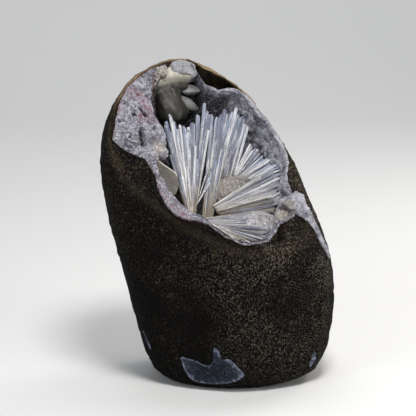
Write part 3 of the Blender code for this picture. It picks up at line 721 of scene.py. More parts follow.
def near(points, lines):
    """The strongest, at each point, of bells round some broken lines on the break, in millimetres."""
    at = np.stack(from_break(points)[:2], axis=-1) * 1000
    total = np.zeros(at.shape[:-1])
    for line, width in lines:
        line = np.array(line, dtype=float)
        ends = zip(line, line[1:]) if len(line) > 1 else [(line[0], line[0] + 1e-6)]
        for start, end in ends:
            side = end - start
            share = np.clip((at - start) @ side / (side @ side), 0, 1)
            far = np.linalg.norm(at - start - share[..., None] * side, axis=-1)
            total = np.maximum(total, np.exp(-((far / width) ** 2)))
    return total


outer_edge = crust_edge - CRUST_GAP
thin = np.clip(np.minimum(degrees - LIP_ANGLES[0], LIP_ANGLES[1] - degrees) / LIP_EASE, 0, 1)
mouth_edge = around(MOUTH_RIM, degrees) + MOUTH_RAGGED * lumps(MOUTH + 0.05 * spokes, 0.005, 51, octaves=3)
mouth_edge = np.minimum(mouth_edge + thin * (outer_edge - LIP_WIDTH - mouth_edge), outer_edge - NARROWEST)


def crust_rings():
    """Rings up the crust's back, inwards over its cut face, and down its inside."""
    back = bowl(outer_edge, HOLLOW_DEPTH + CRUST_BELOW - 2 * CRUST_GAP, BOTTOM_LEVELS)
    share = np.linspace(0, 1, CUT_RINGS + 2)[1:-1, None]
    radius = outer_edge + share * (mouth_edge - outer_edge)
    cut = polar(radius, -CRUST_PROUD * np.sin(np.pi * share) ** 0.5)
    level = np.cos(np.pi / 2 * np.linspace(0, 0.97, WALL_RINGS))
    return back, cut, bowl(mouth_edge, HOLLOW_DEPTH, level)


def sugary(points, strength=1.0):
    """Height of the crust's growth: broad swells, rounded knobs and blocky crystals on them."""
    swell = SWELL[1] * lumps(points, SWELL[0], 61, octaves=2)
    knob = KNOB[1] * (0.55 - pebbles(points, KNOB[0], 62)[0])
    grit = sum(height * blocks(points, size, seed)
               for (size, height), seed in ((COARSE_GRIT, 66), (FINE_GRIT, 70)))
    return strength * (swell + knob + grit)


def tongue_rings():
    """A low arched section carried along the tongue's line, cast onto the rock and raised over it."""
    at = np.linspace(0, len(TONGUE) - 1, TONGUE_RINGS)
    line = np.stack([np.interp(at, np.arange(len(TONGUE)), column) for column in TONGUE.T], axis=-1)
    middle, half = line[:, :3], line[:, 3:]
    end = np.clip(np.arange(TONGUE_RINGS)[::-1, None] / 10, 0.15, 1) ** 0.5
    side = unit(np.cross(np.gradient(middle, axis=0), unit(middle - CORE)))
    angle = 2 * np.pi * np.arange(TONGUE_SIDES) / TONGUE_SIDES
    ragged = 1 + 0.45 * lumps(middle[:, None] + 0.02 * np.sign(np.cos(angle))[:, None] * side[:, None],
                              0.0050, 71, octaves=3)
    across = (np.cos(angle) * ragged * (half * end))[..., None]
    ray = unit(middle[:, None] + across * side[:, None] - CORE)
    arch = np.where(np.sin(angle) > 0, np.maximum(np.sin(angle), 0) ** 0.7, 0.9 * np.sin(angle))
    height = np.where(arch > 0, TONGUE_HEIGHT * arch * np.clip(half / 0.005, 0.4, 1), 0.0016 * arch)
    return cast(above_body, CORE, ray) + height[..., None] * ray


def seat(middle):
    """A place on the break from its millimetres across, up and below."""
    return on_break(*(np.array(middle) / 1000))


def turned_frame(angle):
    """The long and the wide way on the break, turned by an angle, and the way up out of it."""
    way = np.radians(angle)
    return np.array([np.cos(way) * LEVEL + np.sin(way) * UPSLOPE,
                     -np.sin(way) * LEVEL + np.cos(way) * UPSLOPE, UPWARD])


def rays(rings, sides):
    """Unit vectors by latitude and longitude, without the two poles."""
    latitude = np.linspace(0.02, 0.98, rings)[:, None] * np.pi
    longitude = 2 * np.pi * np.arange(sides)[None] / sides
    return np.stack([np.sin(latitude) * np.cos(longitude), np.sin(latitude) * np.sin(longitude),
                     np.cos(latitude) * np.ones(sides)], axis=-1)


def mound_rings(middle, half, angle, growth=1.5):
    """Rays stretched to an ellipsoid, its long axis turned on the break, raised by sugary growth."""
    points = seat(middle) + (rays(60, 110) * (np.array(half) / 1000)) @ turned_frame(angle)
    out = unit(points - points.mean(axis=(0, 1)))
    return points + (growth * sugary(points))[..., None] * out


back, cut, inside = crust_rings()
rings = np.concatenate([back, cut, inside])
on_back, on_cut, on_inside = slice(len(back)), slice(len(back), -WALL_RINGS), slice(-WALL_RINGS, None)
outward = np.zeros(rings.shape)
outward[on_cut] = UPWARD
out = slopes_out(rings, outward)
across, up, down = from_break(rings)
height = sugary(rings) * (1 + 0.2 * ramp(np.abs(across), 0.015, 0.02))
height[on_back] = 0.0
ease = np.linspace(0, 1, CUT_RINGS)[:, None]
height[on_cut] *= 0.3 + 0.7 * np.sin(np.pi * np.clip(ease * 1.5, 0, 0.5))
height *= 1 - 0.70 * ramp(up, 0.044, 0.012) * ramp(across, 0.036, -0.010) * ramp(down, 0.003, 0.006)
rings = rings + height[..., None] * out
with_dips = slice(len(back), 8 - WALL_RINGS)
for line, width, deep in CRUST_DIPS:
    rings[with_dips] -= (near(rings[with_dips], [(line, width)]) * deep / 1000)[..., None] * UPWARD
raised = np.clip(1.7 * near(inside, LEDGE), 0, 1) * np.maximum(down[on_inside] - LEDGE_BELOW, 0) * LEDGE_RISE
rings[on_inside] += raised[..., None] * UPWARD
lip = np.zeros(rings.shape[:2])
lip[on_cut] = np.exp(-((np.linalg.norm(cut - back[-1], axis=-1) / 0.0008) ** 2))
lip[on_back] = 1.0

tongue = tongue_rings()
out = slopes_out(tongue, tongue - tongue.mean(axis=1, keepdims=True))
faces_out = np.clip(np.sum(out * unit(tongue - CORE), axis=-1), 0, 1)
tongue = tongue + (sugary(tongue, 0.75) * faces_out)[..., None] * out

parts = several([rings, tongue] + [mound_rings(**chunk) for chunk in CHUNKS])
crust = make_piece("white_crust", parts, 38)
corners = parts[0]
across, up, down = from_break(corners)
# Painted shade: deep inside the hollow, away from the right wall, the crust is greyed; low down it is also
# tinted cream
deep_inside = ramp(down, 0.010, 0.012) * ramp(across, 0.022, -0.008)
# Painted light: the hollow's right wall, more so deep down, and the tongue on the right flank are made paler
# where light falls on them
pale = ramp(across, 0.018, 0.012) * np.maximum(ramp(down, 0.001, 0.005), 0.35) * ramp(up, -0.028, 0.010)
pale[lip.size + 2:lip.size + 4 + tongue[..., 0].size] = TONGUE_PALE
paint(crust,
      pink=near(corners, PINK) * (down < 0.012),
      # Painted shade: grey in the crust's hollows and deep inside the hollow
      smoky=np.maximum(near(corners, SMOKY), 0.55 * deep_inside),
      # Painted shade: near black on the back wall under the rim
      behind=(ramp(up, 0.042, 0.010) * ramp(down, 0.0012, 0.005)
              * ramp(across, -0.024, 0.006) * ramp(across, 0.035, -0.010)),
      # Painted shade in the crust's holes
      pit=near(corners, [dip[:2] for dip in CRUST_DIPS]),
      rusty=near(corners, RUSTY) * (down < 0.016),
      lip=np.concatenate([padded(lip), np.zeros(len(corners) - lip.size - 2)]),
      cream=np.maximum(near(corners, CREAM), 0.35 * deep_inside * (up < 0.0)),
      pale=pale)


def crystal_facets(look, scale, strength, over=None):
    """Bump whose height in each cell is a plane tilted its own way, as on packed crystals."""
    cells = look.cells(scale)
    offset = look.vectors("SUBTRACT", look.place(), cells["Position"])[0]
    tilt = look.vectors("SUBTRACT", cells["Color"], (0.5,) * 3)[0]
    return look.bump(look.vectors("DOT_PRODUCT", offset, tilt)["Value"], strength, 1.0, over), cells


look = Finish("sugary_crust", (0.72, 0.70, 0.76), 0.45, IOR=1.50)
facets, cells = crystal_facets(look, 560, 0.85)
facets, fine = crystal_facets(look, 1300, 0.60, facets)
cloud = look.noise(85, 4.0, 0.6)
mottle = look.noise(380, 3.0)
each = look.split(cells["Color"])
look.colour = look.mix(look.steps(cloud, 0.38, 0.64), (0.062, 0.060, 0.086), (0.265, 0.258, 0.304))
look.lay(look.steps(each[0], 0.55, 1.0, 0.0, 0.60), (0.46, 0.452, 0.505))
look.lay(look.steps(each[2], 0.72, 1.0, 0.0, 0.66), (0.040, 0.038, 0.052))
look.lay(look.steps(mottle, 0.51, 0.66, 0.0, 0.76), (0.042, 0.040, 0.056))
# Painted light: paler on the right wall and the tongue, where light falls
look.lay(look.times(look.painted("pale"), look.steps(cloud, 0.32, 0.56), 0.74), (0.50, 0.493, 0.56))
# Painted patches: name, the mottling's levels between which one fills in, strength, colour; the grey in
# hollows and the near black of the back wall are painted shade, pink, cream and rust are the crust's own
# colours
PATCHES = [("pink", 0.36, 0.52, 0.84, (0.165, 0.072, 0.102)),
           ("smoky", 0.10, 0.55, 0.75, (0.095, 0.092, 0.112)),
           ("behind", 0.0, 0.10, 0.93, (0.024, 0.022, 0.028)),
           ("cream", 0.20, 0.50, 0.75, (0.32, 0.28, 0.205)),
           ("rusty", 0.22, 0.48, 0.95, (0.055, 0.022, 0.014))]
for name, low, high, strength, colour in PATCHES:
    look.lay(look.times(look.painted(name), look.steps(mottle, low, high), strength), colour)
# Painted shade: the crust's holes laid near black
look.lay(look.steps(look.painted("pit"), 0.40, 0.80, 0.0, 0.92), (0.014, 0.010, 0.009))
look.lay(look.times(look.painted("lip"), look.steps(mottle, 0.30, 0.55), 0.85), (0.12, 0.045, 0.030))
look.lay(look.steps(look.split(fine["Color"])[0], 0.84, 0.90, 0.0, 0.36), (0.70, 0.69, 0.75))
dull = look.times(look.painted("behind"), 0.45)
look.join(look.sums("ADD", look.steps(each[1], 0.0, 1.0, 0.16, 0.55), dull), facets)
sugar = look.material
crust.data.materials.append(sugar)
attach(crust, "root")
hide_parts("crust_lining")


# Scolecite stands in the hollow as three sprays of slender, four-sided, glassy needles that grew
# out of the front wall, clear to milky, cream at the root and bluish white at their blunt tips.
# First the tall spray: it fans up the middle, and its fewer, stouter needles end below the stilbite.
SECTION = np.array([(1.0, 0.58), (0.58, 1.0), (-0.58, 1.0), (-1.0, 0.58),
                    (-1.0, -0.58), (-0.58, -1.0), (0.58, -1.0), (1.0, -0.58)])
# Along a needle: how thick it is at five stations, the shares of its length at the first three, its
# point's length in widths, its largest turn, its least flatness and its point's steepest slant
GIRTH = np.array([0.40, 0.70, 0.92, 1.00, 0.74])
LOWER_STATIONS = (0.0, 0.30, 0.62)
POINT_LENGTH = 0.9
TWIST = 0.55
FLATTEST = 0.65
SLANT = 1.1
WALL_CLEAR = 0.0008
# Lines of roots and tips in every spray: millimetres across, up and below the break
TALL_SPRAY = dict(
    roots=[(-26.8, -34.8, 9.0), (-21.6, -36.1, 9.0)],
    tips=[(-27.2, 35.1, 9.0), (-21.2, 49.0, 9.0), (-17.9, 45.5, 8.0), (-16.5, 34.5, 7.0), (-12.9, 36.8, 7.0),
          (-9.8, 31.9, 6.5), (-4.4, 37.7, 7.0), (-0.6, 42.0, 7.5), (7.1, 52.0, 8.0), (10.4, 47.4, 8.0),
          (12.0, 44.7, 8.0)])


def on_line(line, share):
    """Places at shares of the way along a broken line whose knots count as evenly spaced, in metres."""
    line = np.array(line, dtype=float) / 1000
    knots = np.linspace(0, 1, len(line))
    return np.stack([np.interp(share, knots, line[:, k]) for k in range(3)], axis=-1)


def free_share(roots, tips, tested=60):
    """Share of each needle's way, on the break, after which it would enter the wall or leave the mouth."""
    share = np.linspace(0.25, 1.0, tested)[None, :, None]
    way = roots[:, None] + share * (tips - roots)[:, None]
    angle = np.degrees(np.arctan2(way[..., 1], way[..., 0]))
    level = np.hypot(way[..., 0], way[..., 1]) / np.interp(angle, degrees, mouth_edge, period=360)
    wall = bowl_depth(angle, np.clip(level, 0, 1), HOLLOW_DEPTH)
    blocked = (way[..., 2] > wall - WALL_CLEAR) | (level > 0.99)
    first = np.where(blocked.any(axis=1), np.argmax(blocked, axis=1), tested - 1)
    return share[0, first, 0]


def fan(roots, tips, count, seed, short, sunk, dip=0.0008, stray=0.0009):
    """Ends of needles from a line of roots to one of tips, cut short and sunk by random shares."""
    rng = np.random.default_rng(seed)
    share = np.clip((np.arange(count) + 0.5 + rng.uniform(-0.38, 0.38, count)) / count, 0, 1)
    start, end = on_line(roots, share), on_line(tips, share)
    start[:, 2] += 0.35 * sunk + rng.uniform(-0.0004, 0.0004, count)
    end[:, 2] += sunk + dip * rng.normal(0.0, 1.0, count)
    end[:, :2] += rng.normal(0.0, stray, (count, 2))
    end = start + (end - start) * rng.uniform(*short, count)[:, None]
    end = start + (end - start) * free_share(start, end)[:, None]
    return on_break(*start.T), on_break(*end.T)


def layers(spray, first, rows, **ways):
    """A spray's groups of needles, each with the next seed, from the rows' numbers in millimetres."""
    return [(200 + seed, fan(**spray, count=count, seed=100 + seed, short=short, sunk=sunk / 1000, **ways),
             np.array(widths) / 1000, age, dim)
            for seed, (count, short, sunk, widths, age, dim) in enumerate(rows, first)]


def needle_shells(roots, tips, widths, rng):
    """Eight-cornered sections along straight lines, thinner towards the root, with a low slanting point."""
    count = len(roots)
    length = np.linalg.norm(tips - roots, axis=1)
    axis = unit(tips - roots)
    side = unit(np.cross(axis, UPWARD))
    above = np.cross(side, axis)
    spin = rng.uniform(-TWIST, TWIST, count)[:, None]
    first, second = np.cos(spin) * side + np.sin(spin) * above, np.cos(spin) * above - np.sin(spin) * side
    tip_length = POINT_LENGTH * widths * rng.uniform(0.25, 1.1, count)
    stations = np.stack([share * length for share in LOWER_STATIONS]
                        + [length - tip_length, length - 0.25 * tip_length], axis=1)
    across, up = (corner * GIRTH[:, None] * widths[:, None, None] / 2 for corner in SECTION.T)
    up = up * rng.uniform(FLATTEST, 1.0, count)[:, None, None]
    near_tip = (np.arange(len(GIRTH)) >= len(LOWER_STATIONS))[:, None]
    slant = rng.uniform(-SLANT, SLANT, (2, count))[:, :, None, None] * near_tip
    along = stations[:, :, None] + slant[0] * across + slant[1] * up
    return (roots[:, None, None] + along[..., None] * axis[:, None, None] + across[..., None]
            * first[:, None, None] + up[..., None] * second[:, None, None]), across, up, along


def needle_piece(name, groups, material):
    """One mesh of all a spray's needles, with its attributes along, tone, depth (the share of painted shade)
    and streak.
    """
    shells, marks = [], []
    for seed, (roots, tips), widths, age, dim in groups:
        rng = np.random.default_rng(seed)
        rings, *places = needle_shells(roots, tips, rng.uniform(*widths, len(roots)), rng)
        across, up, way = (np.pad(part.reshape(len(roots), -1), ((0, 0), (1, 1))) for part in places)
        way[:, -1] = np.linalg.norm(tips - roots, axis=1)
        tone = rng.uniform(0, 1, len(roots))[:, None] + 0 * way
        shells += list(rings)
        marks.append((way / way[:, -1:] * (1 - age) + age, tone, dim + 0 * way,
                      np.stack([across + 7.0 * tone, up, way], axis=-1)))
    piece = make_piece(name, several(shells), 20)
    for label, kind in zip(("along", "tone", "depth", "streak"), zip(*marks)):
        paint(piece, **{label: np.concatenate([mark.reshape(-1, *mark.shape[2:]) for mark in kind])})
    piece.data.materials.append(material)
    return piece


def glassy(name, root_colour, middle_colour, tip_colour, dark_share, white_share=1.0):
    """Needle finish: colours by length, a tone for each needle, streaks, cross cracks, and painted shade on
    deeper rows.
    """
    look = Finish(name, middle_colour, 0.14, IOR=1.52, Transmission_Weight=0.50)
    along, tone, streak = look.painted("along"), look.painted("tone"), look.painted("streak", "Vector")
    lines, cloud, crack = (
        look.noise(1.0, detail, at=look.vectors("MULTIPLY", streak, (thick, thick, long))[0])
        for detail, thick, long in ((2.0, 2100.0, 45.0), (3.0, 300.0, 80.0), (1.0, 260.0, 600.0)))
    look.colour = look.mix(look.steps(along, 0.10, 0.62), root_colour, middle_colour)
    look.lay(look.steps(along, 0.50, 0.90), tip_colour)
    look.lay(look.steps(tone, 0.50, 0.72, 0.0, 0.76), (0.21, 0.23, 0.33))
    look.lay(look.times(look.steps(tone, 0.40, 0.22, 0.0, white_share),
                        look.steps(along, 0.10, 0.45, 0.25, 0.9)), (0.985, 0.985, 1.0))
    look.lay(look.steps(cloud, 0.48, 0.66, 0.0, 0.55 * white_share), (0.97, 0.97, 1.0))
    look.lay(look.steps(lines, 0.50, 0.62, 0.0, dark_share), (0.12, 0.12, 0.17))
    look.lay(look.times(look.steps(crack, 0.66, 0.72), 0.55), (0.13, 0.12, 0.16))
    look.lay(look.times(look.steps(along, 0.42, 0.02, 0.0, 0.70),
                        look.steps(cloud, 0.30, 0.55, 0.5, 1.0)), root_colour)
    # Painted shade: deeper rows are darkened, brown near the root and bluish grey towards the tip
    look.lay(look.painted("depth"),
             look.mix(look.steps(along, 0.30, 0.60), (0.13, 0.095, 0.055), (0.085, 0.084, 0.102)))
    look.join(look.steps(cloud, 0.35, 0.65, 0.08, 0.30), look.bump(lines, 0.60, 0.00040))
    return look.material


scolecite = glassy("scolecite_needles", (0.33, 0.26, 0.15), (0.66, 0.64, 0.60), (0.50, 0.57, 0.74), 0.74)
# Rows of every spray: count, shares of the length kept, how far sunk, widths, age, and shadow; an age
# above 0 starts a needle's colours part of the way to the tip
groups = layers(TALL_SPRAY, 1, [
    (19, (0.94, 1.00), 0.0, (1.8, 3.2), 0.0, 0.0), (21, (0.66, 0.97), 1.8, (1.6, 2.8), 0.0, 0.35),
    (24, (0.60, 0.97), 4.5, (1.4, 2.6), 0.0, 0.60), (26, (0.60, 0.95), 8.5, (1.2, 2.2), 0.0, 0.76),
    (26, (0.60, 0.92), 14.0, (1.2, 2.2), 0.0, 0.88), (11, (0.34, 0.80), -1.2, (1.0, 1.9), 0.0, 0.0),
    (14, (0.22, 0.46), 0.5, (0.9, 1.6), 0.0, 0.0)])
tall = needle_piece("tall_spray_needles", groups, scolecite)
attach(tall, "root")
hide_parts("scolecite_tall_spray")


# The right spray leans over the hollow's right half: long needles on its left, ever shorter and
# finer ones towards the right, their feet sunk in a mound of sugary crystals.
RIGHT_LONG = dict(
    roots=[(-18.8, -43.0, 7.0), (-12.2, -43.6, 7.0)],
    tips=[(13.2, 43.8, 8.0), (15.2, 42.8, 8.0), (17.7, 42.9, 8.5), (23.5, 49.7, 9.0), (25.0, 44.0, 9.0),
          (29.0, 47.0, 9.5)])
RIGHT_MIDDLE = dict(
    roots=[(-6.0, -15.0, 8.5), (6.0, -9.0, 9.0), (16.0, -8.0, 9.0)],
    tips=[(24.0, 40.0, 9.0), (32.4, 50.0, 10.0), (33.0, 40.0, 9.0), (36.3, 39.6, 9.5), (34.5, 28.0, 8.5)])
RIGHT_FINE = dict(
    roots=[(14.0, -8.0, 9.5), (22.0, -9.5, 9.5), (29.0, -16.0, 9.5)],
    tips=[(33.4, 17.0, 8.0), (38.5, 11.0, 8.5), (42.1, 3.0, 8.5), (46.5, -2.5, 8.0), (48.5, -6.4, 8.0),
          (50.6, -14.1, 7.5)])
CROSSING = dict(roots=[(-20.6, -31.3, 6.0), (-19.0, -30.0, 6.0), (-14.9, -20.9, 6.0)],
                tips=[(-7.7, -15.5, 4.0), (-6.5, -11.0, 4.5), (-3.5, 0.0, 4.0)])
MOUND = dict(middle=(10.0, -17.5, 12.5), half=(17.5, 10.5, 5.6), angle=20.0)

groups = layers(RIGHT_LONG, 11, [
    (12, (0.95, 1.00), 0.0, (1.8, 3.1), 0.0, 0.0), (13, (0.70, 0.97), 2.0, (1.5, 2.7), 0.0, 0.35),
    (16, (0.62, 0.95), 5.0, (1.4, 2.6), 0.0, 0.60), (18, (0.60, 0.95), 9.5, (1.2, 2.2), 0.0, 0.76),
    (9, (0.25, 0.62), -0.6, (1.1, 1.8), 0.0, 0.0)])
groups += layers(RIGHT_MIDDLE, 16, [
    (12, (0.94, 1.00), 0.0, (1.5, 2.7), 0.30, 0.0), (14, (0.62, 0.97), 2.0, (1.3, 2.3), 0.30, 0.35),
    (18, (0.62, 0.97), 5.0, (1.2, 2.2), 0.30, 0.58), (20, (0.60, 0.95), 10.0, (1.2, 2.2), 0.30, 0.75)])
groups += layers(RIGHT_FINE, 20, [
    (34, (0.86, 1.00), 0.0, (0.8, 1.6), 0.42, 0.0), (34, (0.70, 1.00), 1.6, (0.8, 1.6), 0.42, 0.30),
    (34, (0.70, 0.98), 4.0, (0.8, 1.5), 0.42, 0.60)])
groups += layers(CROSSING, 23, [(4, (0.90, 1.00), 0.0, (1.0, 1.5), 0.15, 0.0)])
right = needle_piece("right_spray_needles", groups, scolecite)
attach(right, "root")
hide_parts("scolecite_right_spray")


def grainy(name, mound, growth, **tints):
    """Mound of sugary crystals in the crust's finish, with even shares of its painted tints."""
    parts = several([mound_rings(**mound, growth=growth)])
    piece = make_piece(name, parts, 38)
    paint(piece, **{tint: np.full(len(parts[0]), share) for tint, share in tints.items()})
    piece.data.materials.append(sugar)
    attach(piece, "root")
    return piece


# The mound sits low under the needles: painted shade lies over most of it, with cream and a little painted
# light
mound = grainy("sugary_mound", MOUND, 1.3, smoky=0.7, cream=0.60, behind=0.30, pale=0.15)
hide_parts("scolecite_right_spray")


# The low fan lies across the front: bright bars above, an olive-brown streaked band under them,
# and along the lip a slab of fine pale fibres, sugary at its right end.
BARS = dict(roots=[(-8.8, -32.6, 6.0), (-7.0, -37.5, 6.0)],
            tips=[(27.6, -15.5, 6.0), (39.1, -10.0, 7.0), (49.0, -7.0, 8.0), (53.6, -11.0, 8.0),
                  (50.5, -18.0, 7.0), (44.0, -25.0, 6.2), (37.5, -30.0, 5.8)])
BAR_ENDS = dict(roots=[(31.0, -31.5, 6.4), (32.0, -38.0, 6.2)], tips=[(47.5, -25.0, 6.2), (47.5, -32.5, 5.8)])
OLIVE = dict(roots=[(-8.0, -38.0, 5.8), (-4.0, -43.0, 5.4)],
             tips=[(37.0, -30.5, 5.8), (36.5, -36.0, 5.6), (34.5, -42.0, 5.4)])
SLAB = dict(roots=[(-17.0, -42.0, 5.0), (-14.5, -48.5, 4.5)],
            tips=[(26.0, -42.0, 4.5), (29.0, -46.5, 4.5), (27.2, -52.0, 3.8), (24.0, -57.0, 3.4)])
LIP_FIBRES = dict(roots=[(-15.5, -47.5, 3.8), (-12.5, -51.0, 3.0)],
                  tips=[(24.0, -61.0, 2.6), (19.0, -66.0, 1.8), (9.4, -68.0, 1.6), (1.0, -64.5, 1.8),
                        (-5.5, -58.5, 2.2)])
SLAB_GRAINS = dict(middle=(20.5, -49.0, 6.2), half=(14.0, 9.0, 3.4), angle=-2.0)
# How far the slab's and the lip's fibres stray sideways, and in their top layer up and down
STRAIGHT = dict(stray=0.0004)
LEVEL_TOO = dict(stray=0.0004, dip=0.0003)

cream_bar = glassy("cream_bars", (0.30, 0.235, 0.135), (0.53, 0.485, 0.405), (0.55, 0.54, 0.535), 0.64, 0.75)
groups = layers(BARS, 31, [
    (14, (0.92, 1.00), -0.4, (1.9, 3.1), 0.35, 0.0), (15, (0.60, 0.98), 1.2, (1.4, 2.4), 0.30, 0.12),
    (22, (0.60, 0.98), 3.2, (1.1, 2.0), 0.25, 0.40)])
groups += layers(BAR_ENDS, 37, [(8, (0.80, 1.00), 0.0, (1.2, 2.0), 0.45, 0.0)])
groups += layers(SLAB, 34, [(26, (0.80, 1.00), 0.0, (1.0, 1.8), 0.40, 0.0)], **LEVEL_TOO)
groups += layers(SLAB, 35, [(30, (0.84, 1.00), 1.4, (1.0, 1.7), 0.40, 0.1)], **STRAIGHT)
groups += layers(LIP_FIBRES, 36, [(9, (0.86, 1.00), -0.2, (0.8, 1.4), 0.30, 0.0)], **LEVEL_TOO)
fan_piece = needle_piece("low_fan_bars", groups, cream_bar)

brown_fibre = glassy("olive_fibres", (0.20, 0.145, 0.070), (0.20, 0.155, 0.085), (0.27, 0.225, 0.145),
                     0.65, 0.25)
groups = layers(OLIVE, 41, [
    (18, (0.90, 1.00), 0.0, (1.0, 1.8), 0.0, 0.0), (22, (0.86, 1.00), 1.6, (1.1, 2.0), 0.0, 0.35)])
groups += layers(LIP_FIBRES, 43, [(22, (0.84, 1.00), 0.0, (0.9, 1.6), 0.35, 0.0)], **LEVEL_TOO)
groups += layers(LIP_FIBRES, 44, [(26, (0.84, 1.00), 1.2, (0.9, 1.6), 0.30, 0.2)], **STRAIGHT)
olive_piece = needle_piece("low_fan_fibres", groups, brown_fibre)
for piece in (fan_piece, olive_piece):
    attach(piece, "root")
    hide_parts("scolecite_low_fan")
# The slab's sugary end is made paler as painted light, with some cream and a little painted shade
grains = grainy("sugary_slab_end", SLAB_GRAINS, 1.0, smoky=0.10, cream=0.35, behind=0.0, pale=0.85)
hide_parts("scolecite_low_fan")


# Stilbite grew last, high in the hollow's left corner: a chipped grey-white cap and a cream band
# over a beige, half-clear body of upright blades, and two blunt petals that stand out to its right.
BODY_MIDDLE = (-14.0, 64.0, 9.5)
BODY_POWER = 3.2
VALLEY_SOFTNESS = 0.0014
FOLD_SIZE, FOLD_DEPTH = 0.0036, 0.0013
GRAIN_SIZE, GRAIN_HEIGHT = 0.0028, 0.00025
BLOCK_SIZE, BLOCK_HEIGHT = 0.0050, 0.00045
# The body's blades, grown into one mass: middle and half-widths in millimetres across, up and below
# the break, and the angle of the long way on the break
BLADES = [((-6.8, 74.5, 2.8), (8.6, 4.8, 4.0), -8), ((-8.0, 69.6, 6.4), (7.2, 5.0, 4.6), -10),
          ((-20.0, 61.8, 10.0), (14.5, 4.8, 5.2), 98), ((-15.2, 60.8, 9.6), (15.0, 4.0, 5.4), 93),
          ((-11.4, 60.2, 10.6), (12.5, 3.6, 4.8), 88), ((-13.5, 50.5, 13.4), (10.5, 7.5, 5.4), 20),
          ((-16.5, 62.5, 12.4), (15.5, 8.0, 5.8), 94)]
# Cap and petals: the same, then their squareness, seed, number of clipping planes, taper, and shares
# of white and cream
CAP_AND_PETALS = [((-3.0, 79.6, 1.2), (9.6, 7.6, 5.0), -8, 3.5, 11, 7, 0.0, 1.0, 0.0),
                  ((1.4, 75.4, 3.6), (5.2, 6.0, 4.6), 60, 3.5, 12, 7, 0.0, 0.8, 0.0),
                  ((0.5, 64.4, 7.6), (7.9, 3.9, 2.8), -10, 2.3, 4, 4, 0.45, 0.36, 0.10),
                  ((-4.0, 54.9, 10.4), (9.4, 4.5, 3.0), -38, 2.3, 5, 4, 0.45, 0.28, 0.08)]


def above_blades(points):
    """Super-ellipsoid ratios less one, times the least half-width: the smallest, with soft valleys."""
    nearest = np.full(points.shape[:-1], 1.0)
    for middle, half, angle in BLADES:
        half = np.array(half) / 1000
        offset = (points - seat(middle)) @ turned_frame(angle).T
        ratio = (np.abs(offset / half) ** BODY_POWER).sum(axis=-1) ** (1 / BODY_POWER)
        nearest = -soft_max(-nearest, -(ratio - 1) * half.min(), VALLEY_SOFTNESS)
    return nearest


def stilbite_grown(points, seed, strength):
    """Moved out from its middle by fine noise and low blocks, and kept under the boulder's top."""
    grown = GRAIN_HEIGHT * lumps(points, GRAIN_SIZE, 80 + seed, octaves=3)
    grown = grown + BLOCK_HEIGHT * blocks(points, BLOCK_SIZE, 90 + seed)
    points = points + (strength * grown)[..., None] * unit(points - points.mean(axis=(0, 1)))
    points[..., 2] = np.minimum(points[..., 2], cad_box[1][2] - TOP_CLEAR - 0.0001)
    return points


def body_rings():
    """Rays from the body's middle, cast onto the blades' joined surface and folded along the slope."""
    ray = rays(120, 180) @ turned_frame(0.0)
    points = cast(above_blades, seat(BODY_MIDDLE), ray, reach=0.04)
    across, up, down = from_break(points)
    drawn = np.stack([across + 0.25 * up, 0.22 * up, 0.3 * down], axis=-1)
    folds = lumps(drawn, FOLD_SIZE, 87, octaves=2)
    return stilbite_grown(points + (FOLD_DEPTH * folds)[..., None] * ray, 7, 0.6)


def lump_rings(middle, half, angle, power, seed, cuts, taper):
    """Super-ellipsoid by latitude and longitude, clipped by random planes, narrower to its far end."""
    rng = np.random.default_rng(seed)
    ray = rays(70, 110)
    radius = 1 / (np.abs(ray) ** power).sum(axis=-1) ** (1 / power)
    planes = unit(rng.normal(size=(cuts, 3)))
    height = rng.uniform(0.60, 0.90, cuts)
    toward = ray @ planes.T
    radius = np.minimum(radius, np.where(toward > 0.05, height / np.maximum(toward, 0.05), 9).min(axis=-1))
    shape = ray * radius[..., None]
    shape[..., 1:] *= 1 - taper * np.clip(shape[..., :1], 0, 1) ** 1.5
    points = seat(middle) + (shape * np.array(half) / 1000) @ turned_frame(angle)
    return stilbite_grown(points, seed, 1 - taper)


shells = [body_rings()] + [lump_rings(*lump[:-2]) for lump in CAP_AND_PETALS]
parts = several(shells)
stilbite = make_piece("stilbite_crystals", parts, 28)
across, up, down = from_break(parts[0])
corners_of = [rings.shape[0] * rings.shape[1] + 2 for rings in shells]
white, cream = (np.repeat([0.0] + [lump[k] for lump in CAP_AND_PETALS], corners_of) for k in (-2, -1))
cream[:corners_of[0]] = (ramp(up, 0.0670, 0.0050) * ramp(down, 0.0085, -0.0035))[:corners_of[0]]
# Painted shade: darker deeper in the hollow and lower down the body
paint(stilbite, deep=ramp(down, 0.004, 0.010) * ramp(up, 0.070, -0.016), white=white, cream=cream)

look = Finish("pearly_stilbite", (0.70, 0.66, 0.54), 0.30, IOR=1.50, Transmission_Weight=0.30,
              Specular_IOR_Level=0.22)
white = look.painted("white")
veil = look.noise(170, 4.0)
cracks = look.cells(190, feature="DISTANCE_TO_EDGE")["Distance"]
# The body's beige is laid dark as painted shade, darkest deep and low
look.colour = look.mix(look.painted("deep"), (0.042, 0.039, 0.031), (0.012, 0.010, 0.0075))
look.lay(look.painted("cream"), (0.58, 0.555, 0.46))
look.lay(white, (0.34, 0.345, 0.37))
streaks = look.times(look.steps(veil, 0.54, 0.70), look.steps(white, 0.0, 1.0, 0.15, 0.7))
look.lay(streaks, (0.50, 0.505, 0.52))
look.lay(look.steps(veil, 0.46, 0.30, 0.0, 0.60), (0.030, 0.028, 0.024))
look.lay(look.times(look.steps(cracks, 0.05, 0.0, 0.0, 0.7), white), (0.10, 0.10, 0.11))
look.join(look.steps(veil, 0.3, 0.7, 0.40, 0.62), look.bump(look.noise(600, 3.0), 0.5, 0.0004))
stilbite.data.materials.append(look.material)
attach(stilbite, "root")
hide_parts("stilbite_cluster")


